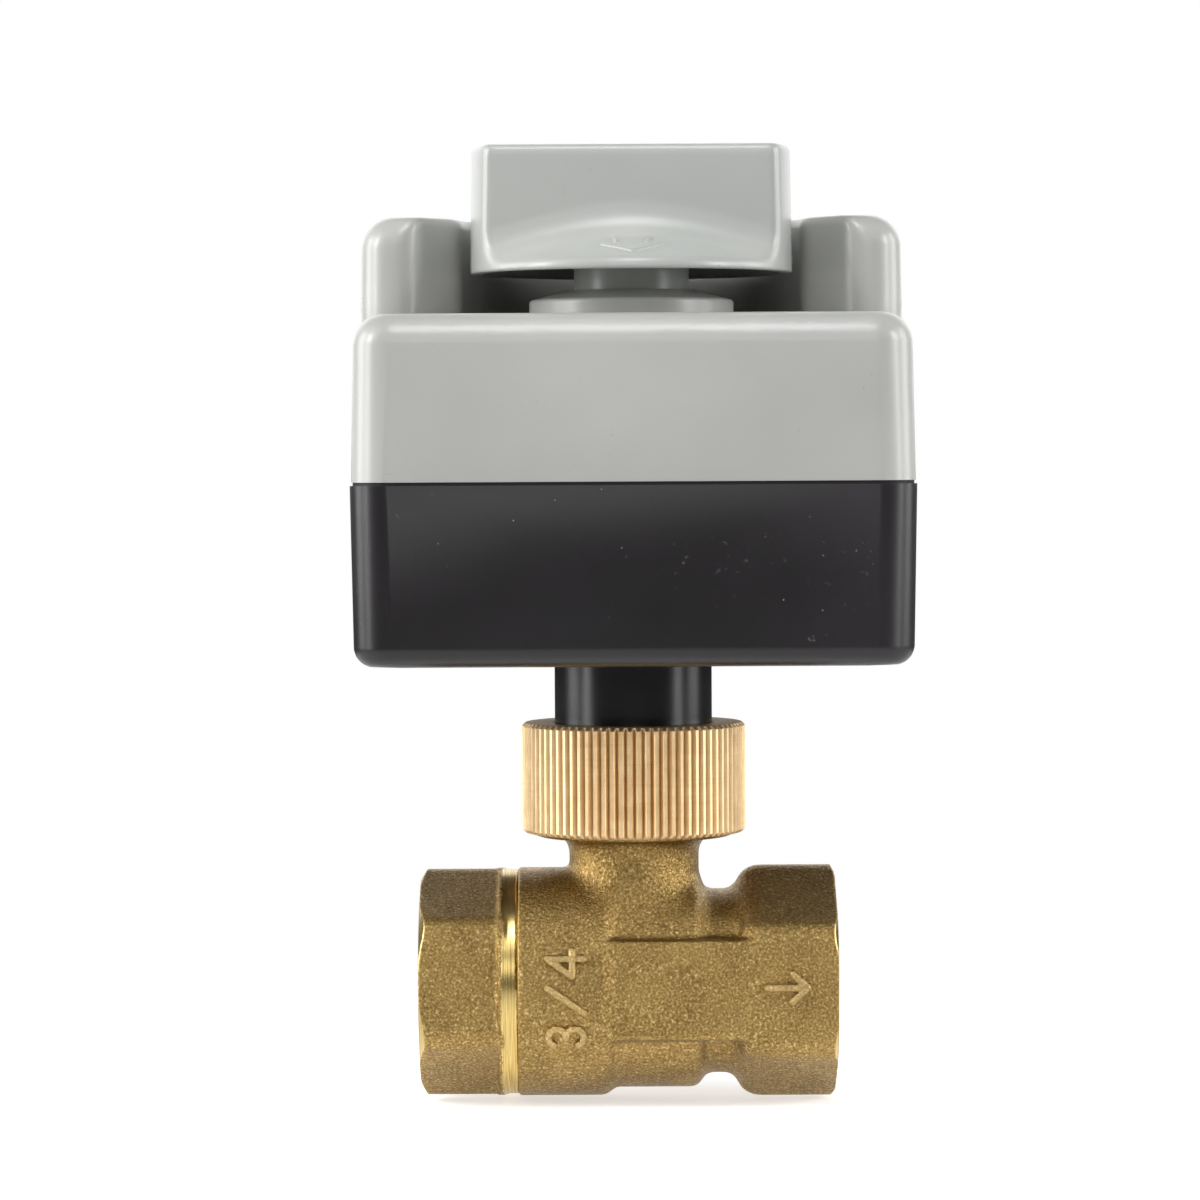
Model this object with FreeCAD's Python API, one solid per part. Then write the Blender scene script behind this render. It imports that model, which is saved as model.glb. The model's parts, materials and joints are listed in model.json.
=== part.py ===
"""Motorized ball valve: a brass two-port ball valve under an electric actuator with a press-and-turn knob.

Millimetres. Every piece is built about the ball's centre: X runs along the pipe, Z up along the stem, and -Y
is the front. The last step moves all of it so that the origin is the centre of the inlet's mouth. The valve
is open.
"""
import FreeCAD
import Part
import math
import os

V = FreeCAD.Vector
CENTRE = V(0, 0, 0)
UP = V(0, 0, 1)
ALONG = V(1, 0, 0)
BACKWARD = V(0, 1, 0)

# Clearances
SLIDE_GAP = 0.05
LOOSE_GAP = 0.15
SEAT_GAP = 0.02
CUT_OVER = 1.0

# Pipe ports
INLET_REACH = 32.0
OUTLET_REACH = 30.0
PORT_THREAD_R = 13.22
PORT_THREAD_LEN = 14.0
FLOW_R = 7.5

# Cast valve body
BODY_R = 17.1
BODY_EDGE = 0.6
BODY_END_X = -17.4
BODY_STEP_X = -4.2
WAIST_R = 15.9
WAIST_END_X = 9.3
NECK_R = 13.9
NECK_START_X = 11.2
NECK_END_X = 13.6
HEX_START_X = 15.4
HEX_START_R = 14.4
OUTLET_HEX = 31.2
HEX_CORNER_R = 2.0
HEX_CHAMFER = 1.1
FACE_STEP = 0.6
PAD_HALF = 7.5
CHAMBER_R = 12.4

# Screwed inlet tailpiece
INLET_HEX = 30.4
HEX_BACK_X = -20.2
RING_STEP = 0.3
NOSE_R = 15.0
TAIL_SEAL_T = 0.8

# Ball and seats
BALL_R = 11.8
TONGUE_WIDTH = 4.0
TONGUE_LEN = 11.0
BALL_SLOT_FLOOR_Z = 8.6
SEAT_BACK_X = 11.5
SEAT_FACE_X = 7.2
SEAT_BORE_R = 7.9

# Bonnet, stem and its seals
BONNET_R = 9.7
BONNET_FLARE_LOW_Z = 19.8
BONNET_FLARE_TOP_Z = 22.2
BONNET_STEP = 2.2
BONNET_THREAD_R = BODY_R - BONNET_STEP
BONNET_TOP_Z = 31.0
STEM_R = 4.5
STEM_COLLAR_R = 6.0
STEM_COLLAR_TOP_Z = 14.5
THRUST_WASHER_T = 1.0
STEM_SQUARE = 6.0
STEM_SQUARE_LEN = 8.0
STEM_TOP_Z = 39.5
O_RING_WIRE = 1.6
O_RING_ZS = (19.0, 23.0)

# Union nut
NUT_WALL = 1.85
NUT_LOW_Z = 22.5
NUT_TOP_Z = 38.9
KNURL_COUNT = 80
KNURL_DEPTH = 0.5
KNURL_CREST_SHARE = 0.3
NUT_CHAMFER = 0.5
NUT_RING_WIRE = 1.2
NUT_RING_Z = 36.6

# Actuator housing
HALF_WIDTH = 40.75
FRONT_Y = -31.5
BACK_Y = 48.5
SPLIT_Z = 75.2
BASE_LOW_Z = 48.5
DECK_Z = 99.5
RAISED_Z = 114.4
WALL = 2.2
DRAFT_DEG = 1.0
CORNER_R = 5.8
TOP_EDGE_R = 4.6
BOTTOM_EDGE_R = 3.0
BASE_PROUD = 0.2
GASKET_T = 0.5
LIP_T = 1.0
LIP_HEIGHT = 2.0
RECESS_R = 25.6
RECESS_FLARE_DEG = 50.0
TIP_R = 4.9
TIP_Y = -2.45
HORN_R = 7.2
EDGE_SHARE_OF_HORN = 0.65

# Base neck
BASE_NECK_R = 11.75
NECK_FLANGE_STEP = 1.0
NECK_FLANGE_R = BONNET_THREAD_R - NECK_FLANGE_STEP
NECK_FLANGE_T = 3.2

# Housing screws
SCREW_R = 1.5
SCREW_HEAD_R = 2.8
SCREW_HEAD_H = 2.2
SCREW_BITE = 9.0
BOSS_R = 3.9
BOSS_INSET = 5.6
BOSS_ROOF = 3.0
SCREW_SHOULDER_Z = 66.0
DRIVE_SLOT_WIDTH = 0.7
DRIVE_SLOT_DEPTH = 1.0

# Small screws inside
SMALL_SCREW_R = 1.0
SMALL_HEAD_R = 1.8
SMALL_HEAD_H = 1.2
SMALL_BITE = 4.0
POST_R = 2.2

# Knob and its collar
KNOB_R = 24.1
KNOB_TAPER = 0.3
KNOB_LOW_Z = 106.1
KNOB_TOP_Z = 124.9
KNOB_RIM_H = 1.6
KNOB_CONE_SLOPE = 0.33
GRIP_HALF = 10.4
GRIP_FILLET = 2.6
KNOB_EDGE_R = 1.4
KNOB_WALL = 1.8
KNOB_STEM_R = 8.6
KNOB_TUBE_R = 7.4
KNOB_TUBE_TOP_Z = 90.0
KNOB_TRAVEL = 5.0
COLLAR_R = 15.3
COLLAR_EDGE_H = 2.5
COLLAR_CONE_H = 1.5
COLLAR_SPIGOT_R = 11.0
COLLAR_SPIGOT_LOW_Z = 93.2
CIRCLIP_T = 1.0
CIRCLIP_BAND = 2.0
CIRCLIP_BITE = 0.8

# Spindle, gear pair and clutch spring
SPINDLE_R = 6.0
SPINDLE_LOW_Z = 32.5
SPINDLE_SQUARE = 8.0
SPINDLE_TOP_Z = 103.5
SHOULDER_R = 8.0
SHOULDER_H = 3.0
BUSH_WALL = 1.4
BUSH_FLANGE_T = 1.2
BUSH_LEN = 6.0
GEAR_MODULE = 1.0
GEAR_TEETH = 32
PINION_TEETH = 16
GEAR_LOW_Z = 68.5
GEAR_FACE = 4.0
GEAR_HUB_R = 8.0
GEAR_HUB_H = 1.0
ADDENDUM = 0.9
DEDENDUM = 1.15
BACKLASH = 0.2
PRESSURE_DEG = 20.0
SPRING_WIRE = 0.8
SPRING_R = 7.2
SPRING_TURNS = 2.5
SPRING_POCKET_DEPTH = 2.5
SPRING_WASHER_T = 0.6

# Gear plate, pillars and motor
PLATE_T = 1.5
PLATE_TOP_Z = 75.0
PLATE_SIDE_INSET = 7.75
PLATE_FRONT_INSET = 10.0
PLATE_BACK_INSET = 8.0
PLATE_CORNER_R = 5.0
PILLAR_INSET = 3.5
PILLAR_R = 3.2
MOTOR_R = 16.0
MOTOR_OFFSET = 4.6
MOTOR_H = 20.0
MOTOR_EDGE_R = 1.5
MOTOR_EAR_X = 20.0
MOTOR_EAR_R = 3.4
MOTOR_EAR_T = 1.2
MOTOR_SHAFT_R = 3.0
MOTOR_SHAFT_INSIDE = 6.0
MOTOR_BOSS_R = 4.5
EAR_SCREW_R = 1.5
EAR_SCREW_REACH = 3.0

# Cams and limit switches
CAM_LOW_R = 7.6
CAM_RISE = 1.2
CAM_T = 3.0
CAM_SPACE = 0.5
CAM_RAMP_MARGIN_DEG = 15.0
QUARTER_TURN_DEG = 90.0
SWITCH_LEN = 20.0
SWITCH_DEPTH = 9.0
SWITCH_T = 5.5
SWITCH_HOLE_DEPTH = 6.8
SWITCH_HOLE_SPREAD = 6.5
LEVER_T = 0.5
LEVER_WIDTH = 2.4
LEVER_ARM = 9.0
LEVER_TIP = 2.0
LEVER_BUMP_R = 0.9
LEVER_GAP = 0.2
LEVER_PIN_R = 0.5
LEVER_EYE_R = 1.1
PLUNGER_PLACE = -5.0
PLUNGER_R = 0.8
PLUNGER_INSIDE = 2.5
PLUNGER_GAP = 0.12

# Circuit board and its parts
BOARD_T = 1.6
BOARD_LOW_Z = 53.2
BOARD_HALF_X = 25.0
BOARD_FRONT_INSET = 3.5
BOARD_DEPTH = 14.5
BOARD_POST_INSET = 3.0
TERMINAL_PITCH = 5.0
TERMINAL_POLES = 3
TERMINAL_SIDE_INSET = 10.0
TERMINAL_LEFT_X = TERMINAL_SIDE_INSET - BOARD_HALF_X
TERMINAL_RIGHT_X = TERMINAL_LEFT_X + TERMINAL_POLES * TERMINAL_PITCH
TERMINAL_INSET = 1.0
TERMINAL_DEPTH = 7.5
TERMINAL_H = 9.0
TERMINAL_SCREW_R = 1.4
TERMINAL_SCREW_LEN = 4.0
RELAY_LEFT_GAP = 3.0
RELAY_RIGHT_INSET = 7.0
RELAY_DEPTH = 8.0
RELAY_H = 10.0
CAPACITOR_INSET = 6.7
CAPACITOR_R = 2.4
CAPACITOR_H = 8.0

# Cable gland in the back wall
GLAND_SIDE_INSET = 20.75
GLAND_X = HALF_WIDTH - GLAND_SIDE_INSET
GLAND_Z = 61.0
GLAND_PAD_R = 9.6
GLAND_PAD_RISE = 0.4
GLAND_THREAD_R = 6.0
GLAND_BORE_R = 4.5
GLAND_HEX = 15.0
GLAND_HEX_LEN = 4.0
GLAND_NOSE_LEN = 6.0
GLAND_CAP_LEN = 9.0
GLAND_CAP_R = 7.3
GLAND_CAP_HOLE_R = 3.9
GLAND_NUT_T = 3.0
GLAND_INSIDE_LEN = 4.0
GLAND_SEAL_LEN = 8.0
CABLE_R = 3.0


def vertical(radius, low, high, x=0.0, y=0.0):
    """A round bar along Z."""
    return Part.makeCylinder(radius, high - low, V(x, y, low), UP)


def along_x(radius, start, end):
    """A round bar along the pipe."""
    return Part.makeCylinder(radius, end - start, V(start, 0, 0), ALONG)


def along_y(radius, start, end, x=GLAND_X, z=GLAND_Z):
    """A round bar from front to back."""
    return Part.makeCylinder(radius, end - start, V(x, start, z), BACKWARD)


def block(x0, x1, y0, y1, z0, z1):
    return Part.makeBox(x1 - x0, y1 - y0, z1 - z0, V(x0, y0, z0))


def square_bar(side, low, high):
    return block(-side / 2, side / 2, -side / 2, side / 2, low, high)


def ring(outer, inner, low, high, x=0.0, y=0.0):
    return vertical(outer, low, high, x, y).cut(vertical(inner, low - CUT_OVER, high + CUT_OVER, x, y))


def torus(centre_r, wire, z):
    return Part.makeTorus(centre_r, wire / 2, V(0, 0, z), UP)


def polygon(points):
    return Part.makePolygon([V(*p) for p in points] + [V(*points[0])])


def turned(profile, axis=UP):
    """A solid of revolution from (radius, place along the axis) points."""
    if axis == UP:
        points = [(r, 0, a) for r, a in profile]
    else:
        points = [(a, 0, r) for r, a in profile]
    return Part.Face(polygon(points)).revolve(CENTRE, axis, 360)


def fused(first, *others):
    return first.multiFuse(list(others)).removeSplitter()


def polar(radius, degrees, centre=(0.0, 0.0)):
    turn = math.radians(degrees)
    return centre[0] + radius * math.cos(turn), centre[1] + radius * math.sin(turn)


def arc(centre, radius, start, end, z):
    """An arc in a level plane, from one bearing in degrees to another."""
    ends = [polar(radius, a, centre) for a in (start, (start + end) / 2, end)]
    return Part.Arc(*[V(x, y, z) for x, y in ends]).toShape()


def joined(edges):
    """A closed wire from edges in order, with straight lines between ends that don't meet."""
    pieces = []
    for edge, following in zip(edges, edges[1:] + edges[:1]):
        pieces.append(edge)
        here = edge.valueAt(edge.LastParameter)
        there = following.valueAt(following.FirstParameter)
        if here.distanceToPoint(there) > 1e-6:
            pieces.append(Part.makeLine(here, there))
    return Part.Wire(pieces)


def slab(wire, height):
    return Part.Face(wire).extrude(V(0, 0, height))


def drafted(low_wire, high_wire):
    return Part.makeLoft([low_wire, high_wire], True, True)


def edges_at(shape, z):
    """The edges that lie wholly in the level plane at z."""
    return [e for e in shape.Edges if abs(e.BoundBox.ZMin - z) < 1e-4 and abs(e.BoundBox.ZMax - z) < 1e-4]


def draft_at(height):
    return height * math.tan(math.radians(DRAFT_DEG))


def hexagon(across, thickness, corner_r):
    """A flat hexagonal slab from z 0 up, with rounded corners, one of them towards +X."""
    inner = (across / 2 - corner_r) / math.cos(math.radians(30))
    corners = []
    for bearing in range(0, 360, 60):
        corners.append(arc(polar(inner, bearing), corner_r, bearing - 30, bearing + 30, 0))
    return slab(joined(corners), thickness)


def pipe_hex(across, start, end, start_r, end_r):
    """A hexagon along the pipe, one corner straight up, the corners sloped down to a radius at each end."""
    bar = hexagon(across, end - start, HEX_CORNER_R)
    bar.rotate(CENTRE, BACKWARD, 90)
    bar.translate(V(start, 0, 0))
    reach = across / 2 / math.cos(math.radians(30))
    return bar.common(turned([
        (0, start),
        (start_r, start),
        (reach, start + HEX_CHAMFER),
        (reach, end - HEX_CHAMFER),
        (end_r, end),
        (0, end),
    ], ALONG))


def face_r(across):
    """Radius to which the turning tool brings a hexagon's corners at its mouth."""
    return across / 2 + FACE_STEP


def make_valve_body():
    """Casting with the outlet hexagon, a narrow neck, flat pads, and the bonnet that carries the stem."""
    profile = [
        (0, BODY_END_X),
        (BODY_R - BODY_EDGE, BODY_END_X),
        (BODY_R, BODY_END_X + BODY_EDGE),
        (BODY_R, BODY_STEP_X - BODY_EDGE),
        (WAIST_R, BODY_STEP_X + BODY_EDGE),
        (WAIST_R, WAIST_END_X),
        (NECK_R, NECK_START_X),
        (NECK_R, NECK_END_X),
        (HEX_START_R - BODY_EDGE, HEX_START_X),
        (HEX_START_R - BODY_EDGE, HEX_START_X + CUT_OVER),
        (0, HEX_START_X + CUT_OVER),
    ]
    barrel = turned(profile, ALONG)
    outlet = pipe_hex(OUTLET_HEX, HEX_START_X, OUTLET_REACH, HEX_START_R, face_r(OUTLET_HEX))
    pad_depth = OUTLET_HEX / 2
    pad_end = HEX_START_X + HEX_CHAMFER + CUT_OVER
    pads = block(BODY_STEP_X, pad_end, -pad_depth, pad_depth, -PAD_HALF, PAD_HALF)
    bonnet = turned([
        (0, 0),
        (BONNET_R, 0),
        (BONNET_R, BONNET_FLARE_LOW_Z),
        (BONNET_THREAD_R, BONNET_FLARE_TOP_Z),
        (BONNET_THREAD_R, BONNET_TOP_Z - BODY_EDGE),
        (BONNET_THREAD_R - BODY_EDGE, BONNET_TOP_Z),
        (0, BONNET_TOP_Z),
    ])
    body = fused(barrel, outlet, pads, bonnet)
    body = body.cut(along_x(CHAMBER_R, BODY_END_X - CUT_OVER, SEAT_BACK_X))
    body = body.cut(along_x(NOSE_R + SLIDE_GAP, BODY_END_X - CUT_OVER, -socket_floor()))
    body = body.cut(along_x(FLOW_R, 0, OUTLET_REACH + CUT_OVER))
    body = body.cut(along_x(PORT_THREAD_R, OUTLET_REACH - PORT_THREAD_LEN, OUTLET_REACH + CUT_OVER))
    body = body.cut(vertical(STEM_R + SLIDE_GAP, 0, BONNET_TOP_Z + CUT_OVER))
    pocket_top = STEM_COLLAR_TOP_Z + THRUST_WASHER_T
    return body.cut(vertical(STEM_COLLAR_R + LOOSE_GAP, 0, pocket_top)).removeSplitter()


def socket_floor():
    """How far the floor of the tailpiece's socket lies from the ball's centre."""
    return SEAT_BACK_X - TAIL_SEAL_T


def make_tailpiece():
    """Hexagon with the inlet thread, a machined ring, and the nose that clamps the seat."""
    hexagonal = pipe_hex(INLET_HEX, -INLET_REACH, HEX_BACK_X, face_r(INLET_HEX), HEX_START_R)
    machined = along_x(BODY_R - RING_STEP, HEX_BACK_X - BODY_EDGE, BODY_END_X)
    nose = along_x(NOSE_R, BODY_END_X - BODY_EDGE, -SEAT_BACK_X)
    piece = fused(hexagonal, machined, nose)
    piece = piece.cut(along_x(PORT_THREAD_R, -INLET_REACH - CUT_OVER, PORT_THREAD_LEN - INLET_REACH))
    return piece.cut(along_x(FLOW_R, -INLET_REACH, 0))


def make_tailpiece_seal():
    outer = along_x(NOSE_R, -SEAT_BACK_X, -socket_floor())
    return outer.cut(along_x(CHAMBER_R + SLIDE_GAP, -SEAT_BACK_X - CUT_OVER, 0))


def make_seat_rings():
    """Two rings with spherical faces that the ball turns in."""
    outer = along_x(CHAMBER_R - SLIDE_GAP, SEAT_FACE_X, SEAT_BACK_X)
    seat = outer.cut(along_x(SEAT_BORE_R, 0, SEAT_BACK_X + CUT_OVER))
    seat = seat.cut(Part.makeSphere(BALL_R + SLIDE_GAP))
    inlet_seat = seat.mirror(CENTRE, ALONG)
    return Part.makeCompound([inlet_seat, seat])


def make_ball():
    """The bore lies along the pipe while the valve is open, and the stem's slot lies across it."""
    ball = Part.makeSphere(BALL_R).cut(along_x(FLOW_R, -BALL_R - CUT_OVER, BALL_R + CUT_OVER))
    half = TONGUE_WIDTH / 2 + SLIDE_GAP
    return ball.cut(block(-half, half, -BALL_R, BALL_R, BALL_SLOT_FLOOR_Z, BALL_R + CUT_OVER))


def o_ring_centre_r():
    return STEM_R - O_RING_WIRE / 2 + SEAT_GAP


def make_valve_stem():
    """Pushed in from below, so that its collar can't blow out; a tongue below and a square above."""
    half, reach = TONGUE_WIDTH / 2, TONGUE_LEN / 2
    tongue = block(-half, half, -reach, reach, BALL_SLOT_FLOOR_Z + LOOSE_GAP, CHAMBER_R + SEAT_GAP)
    collar = vertical(STEM_COLLAR_R, CHAMBER_R, STEM_COLLAR_TOP_Z)
    shank = vertical(STEM_R, CHAMBER_R, STEM_TOP_Z - STEM_SQUARE_LEN)
    square = square_bar(STEM_SQUARE, STEM_TOP_Z - STEM_SQUARE_LEN - SEAT_GAP, STEM_TOP_Z)
    stem = fused(tongue, collar, shank, square)
    groove_r = o_ring_centre_r() - O_RING_WIRE / 2
    for z in O_RING_ZS:
        half_groove = O_RING_WIRE / 2 + SLIDE_GAP
        stem = stem.cut(ring(STEM_R + CUT_OVER, groove_r, z - half_groove, z + half_groove))
    return stem


def make_stem_washer():
    low = STEM_COLLAR_TOP_Z
    return ring(STEM_COLLAR_R, STEM_R + SLIDE_GAP, low, low + THRUST_WASHER_T)


def make_stem_o_rings():
    return Part.makeCompound([torus(o_ring_centre_r(), O_RING_WIRE, z) for z in O_RING_ZS])


def nut_lip_z():
    """Underside of the union nut's lip, just above the neck's flange."""
    return BONNET_TOP_Z + NECK_FLANGE_T + SLIDE_GAP


def nut_r():
    return BONNET_THREAD_R + NUT_WALL


def nut_ring_centre_r():
    return BASE_NECK_R + SLIDE_GAP + NUT_RING_WIRE / 2


def make_union_nut():
    """Straight-knurled nut that pulls the actuator's neck down on the bonnet."""
    step = 360 / KNURL_COUNT
    crest = step * KNURL_CREST_SHARE / 2
    outline = []
    for tooth in range(KNURL_COUNT):
        middle = tooth * step
        outline.append((*polar(nut_r(), middle - crest), NUT_LOW_Z))
        outline.append((*polar(nut_r(), middle + crest), NUT_LOW_Z))
        outline.append((*polar(nut_r() - KNURL_DEPTH, middle + step / 2), NUT_LOW_Z))
    knurled = slab(polygon(outline), NUT_TOP_Z - NUT_LOW_Z)
    limits = turned([
        (0, NUT_LOW_Z),
        (nut_r() - NUT_CHAMFER, NUT_LOW_Z),
        (nut_r() + SEAT_GAP, NUT_LOW_Z + NUT_CHAMFER),
        (nut_r() + SEAT_GAP, NUT_TOP_Z - NUT_CHAMFER),
        (nut_r() - NUT_CHAMFER, NUT_TOP_Z),
        (0, NUT_TOP_Z),
    ])
    nut = knurled.common(limits)
    nut = nut.cut(vertical(BONNET_THREAD_R + SLIDE_GAP, NUT_LOW_Z - CUT_OVER, nut_lip_z()))
    nut = nut.cut(vertical(BASE_NECK_R + LOOSE_GAP, NUT_LOW_Z, NUT_TOP_Z + CUT_OVER))
    groove_half = NUT_RING_WIRE / 2 + SLIDE_GAP
    groove_r = nut_ring_centre_r() + groove_half
    return nut.cut(vertical(groove_r, NUT_RING_Z - groove_half, NUT_RING_Z + groove_half))


def make_nut_ring():
    return torus(nut_ring_centre_r(), NUT_RING_WIRE, NUT_RING_Z)


def box_outline(z, inset, corner_r):
    """The actuator's rounded rectangle in plan at one height."""
    x, y0, y1 = HALF_WIDTH - inset, FRONT_Y + inset, BACK_Y - inset
    return joined([
        arc((x - corner_r, y0 + corner_r), corner_r, -90, 0, z),
        arc((x - corner_r, y1 - corner_r), corner_r, 0, 90, z),
        arc((-x + corner_r, y1 - corner_r), corner_r, 90, 180, z),
        arc((-x + corner_r, y0 + corner_r), corner_r, 180, 270, z),
    ])


def raised_outline(z, draft, thinner):
    """The raised rear part in plan: a round recess for the knob, flared in front between rounded tips."""
    x, y1 = HALF_WIDTH - draft - thinner, BACK_Y - draft - thinner
    recess, horn = RECESS_R + thinner, HORN_R - thinner
    tip, corner = TIP_R - thinner, CORNER_R - thinner
    turn = horn_bearing(x - tip)
    horn_x, horn_y = polar(RECESS_R + HORN_R, turn)
    return joined([
        arc((x - tip, TIP_Y), tip, -90 - RECESS_FLARE_DEG, 0, z),
        arc((x - corner, y1 - corner), corner, 0, 90, z),
        arc((-x + corner, y1 - corner), corner, 90, 180, z),
        arc((-x + tip, TIP_Y), tip, 180, 270 + RECESS_FLARE_DEG, z),
        arc((-horn_x, horn_y), horn, RECESS_FLARE_DEG - 90, -turn, z),
        arc((0, 0), recess, 180 - turn, 90, z),
        arc((0, 0), recess, 90, turn, z),
        arc((horn_x, horn_y), horn, 180 + turn, 270 - RECESS_FLARE_DEG, z),
    ])


def horn_bearing(tip_x):
    """Bearing from the stem to the centre of the round that joins the recess to its straight flare.

    The flare touches both this round and the tip, whose centre lies tip_x to the side."""
    flare = math.radians(RECESS_FLARE_DEG)
    reach = tip_x * math.sin(flare) + TIP_Y * math.cos(flare) - TIP_R + HORN_R
    return math.degrees(math.asin(reach / (RECESS_R + HORN_R))) - RECESS_FLARE_DEG


def cover_solid(thinner):
    """The cover's outside, or with thinner its hollow: a low deck and the raised part behind it."""
    edge_r = TOP_EDGE_R - thinner
    deck, roof = DECK_Z - thinner, RAISED_Z - thinner
    low = SPLIT_Z - CUT_OVER if thinner else SPLIT_Z
    corner = CORNER_R - thinner
    deck_block = drafted(
        box_outline(low, draft_at(low - SPLIT_Z) + thinner, corner),
        box_outline(deck, draft_at(deck - SPLIT_Z) + thinner, corner),
    )
    deck_block = deck_block.makeFillet(edge_r, edges_at(deck_block, deck))
    rear = drafted(
        raised_outline(low, draft_at(low - SPLIT_Z), thinner),
        raised_outline(roof, draft_at(roof - SPLIT_Z), thinner),
    )
    rear = rear.makeFillet(min(edge_r, EDGE_SHARE_OF_HORN * (HORN_R - thinner)), edges_at(rear, roof))
    return fused(deck_block, rear)


def screw_places():
    x, front, back = HALF_WIDTH - BOSS_INSET, FRONT_Y + BOSS_INSET, BACK_Y - BOSS_INSET
    return [(x, front), (-x, front), (-x, back), (x, back)]


def make_cover():
    outside = cover_solid(0.0)
    shell = outside.cut(cover_solid(WALL))
    bite_top = SPLIT_Z + SCREW_BITE
    for x, y in screw_places():
        boss = vertical(BOSS_R, SPLIT_Z, bite_top + BOSS_ROOF, x, y)
        shell = shell.fuse(boss.common(outside))
    for x, y in screw_places():
        shell = shell.cut(vertical(SCREW_R + SEAT_GAP, SPLIT_Z - CUT_OVER, bite_top + SCREW_R, x, y))
    shell = shell.cut(vertical(COLLAR_SPIGOT_R + SLIDE_GAP, DECK_Z - WALL - CUT_OVER, DECK_Z + CUT_OVER))
    return shell.removeSplitter()


def base_top():
    return SPLIT_Z - GASKET_T


def base_floor():
    return BASE_LOW_Z + WALL


def base_inset(z):
    """Inset of the base from the cover's outline at one height; the base stands a little proud."""
    return draft_at(base_top() - z) - BASE_PROUD


def base_block(thinner):
    """The base's outside, or with thinner its hollow."""
    low = BASE_LOW_Z + thinner
    top = base_top() + CUT_OVER if thinner else base_top()
    edge_r = BOTTOM_EDGE_R - thinner
    solid = drafted(
        box_outline(low, base_inset(low) + thinner, CORNER_R - thinner),
        box_outline(top, base_inset(top) + thinner, CORNER_R - thinner),
    )
    return solid.makeFillet(edge_r, edges_at(solid, low))


def plate_limits():
    """Half width, front and back of the gear plate, set in from the housing's outside."""
    return HALF_WIDTH - PLATE_SIDE_INSET, FRONT_Y + PLATE_FRONT_INSET, BACK_Y - PLATE_BACK_INSET


def pillar_places():
    x, front, back = plate_limits()
    rows = (front + PILLAR_INSET, back - PILLAR_INSET)
    return [(side * (x - PILLAR_INSET), y) for side in (-1, 1) for y in rows]


def plate_low():
    return PLATE_TOP_Z - PLATE_T


def neck_bore_r():
    return SPINDLE_R + SLIDE_GAP + BUSH_WALL


def gland_face_y():
    """The flat that the cable gland seats on, just proud of the base's back wall."""
    return BACK_Y + BASE_PROUD + GLAND_PAD_RISE


def make_lip():
    """Rim that locates the cover, standing on the inside of the base's wall."""
    top = base_top()
    inside = WALL + LOOSE_GAP + LIP_T
    root = slab(box_outline(top - LIP_HEIGHT, WALL / 2, CORNER_R - WALL / 2), LIP_HEIGHT)
    outer = slab(box_outline(top, WALL + LOOSE_GAP + draft_at(LIP_HEIGHT), CORNER_R - WALL), LIP_HEIGHT)
    hollow = slab(box_outline(top - LIP_HEIGHT - CUT_OVER, inside, CORNER_R - WALL), 3 * LIP_HEIGHT)
    lip = root.fuse(outer).cut(hollow)
    for x, y in screw_places():
        lip = lip.cut(vertical(BOSS_R + LOOSE_GAP, top, top + 2 * LIP_HEIGHT, x, y))
    return lip


def make_base():
    """Tray with the neck that stands on the bonnet, pillars, posts and screw bosses."""
    outside = base_block(0.0)
    floor, top = base_floor(), base_top()
    pad_start = BACK_Y - WALL
    shell = outside.fuse(along_y(GLAND_PAD_R, pad_start, gland_face_y())).cut(base_block(WALL))
    solids = [make_lip()]
    solids += [vertical(BOSS_R, floor - WALL / 2, top, x, y).common(outside) for x, y in screw_places()]
    solids += [vertical(PILLAR_R, floor - WALL / 2, plate_low(), x, y) for x, y in pillar_places()]
    solids += [vertical(POST_R, floor - WALL / 2, BOARD_LOW_Z, x, y) for x, y in board_posts()]
    for level, turn in switch_stands():
        low = level - SWITCH_T / 2
        solids += [vertical(POST_R, floor - WALL / 2, low, x, y) for x, y in switch_holes(turn)]
    solids.append(vertical(BASE_NECK_R, BONNET_TOP_Z, floor))
    solids.append(vertical(NECK_FLANGE_R, BONNET_TOP_Z, BONNET_TOP_Z + NECK_FLANGE_T))
    shell = fused(shell, *solids)
    cuts = [vertical(neck_bore_r(), BONNET_TOP_Z - CUT_OVER, floor + CUT_OVER)]
    for x, y in screw_places():
        cuts.append(vertical(SCREW_R + LOOSE_GAP, BASE_LOW_Z - CUT_OVER, top + CUT_OVER, x, y))
        cuts.append(vertical(SCREW_HEAD_R + 2 * LOOSE_GAP, BASE_LOW_Z - CUT_OVER, SCREW_SHOULDER_Z, x, y))
    for x, y in pillar_places():
        cuts.append(small_hole(plate_low(), x, y))
    for x, y in board_posts():
        cuts.append(small_hole(BOARD_LOW_Z, x, y))
    for level, turn in switch_stands():
        for x, y in switch_holes(turn):
            cuts.append(small_hole(level - SWITCH_T / 2, x, y))
    cuts.append(along_y(GLAND_THREAD_R + SLIDE_GAP, pad_start - BOTTOM_EDGE_R, gland_face_y() + CUT_OVER))
    return shell.cut(Part.makeCompound(cuts)).removeSplitter()


def small_hole(top, x, y):
    """Pilot hole for a small screw in a post or pillar, open at the top."""
    return vertical(SMALL_SCREW_R + SEAT_GAP, top - SMALL_BITE, top + CUT_OVER, x, y)


def make_gasket():
    outer = slab(box_outline(base_top(), BASE_PROUD, CORNER_R), GASKET_T)
    hollow = slab(box_outline(base_top() - CUT_OVER, WALL, CORNER_R - WALL), GASKET_T + 2 * CUT_OVER)
    return outer.cut(hollow)


def cross_slots(head_r, x, y, low, high):
    """Two crossed slots of a screw's drive."""
    half, reach = DRIVE_SLOT_WIDTH / 2, head_r * 0.7
    return [
        block(x - reach, x + reach, y - half, y + half, low, high),
        block(x - half, x + half, y - reach, y + reach, low, high),
    ]


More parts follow.
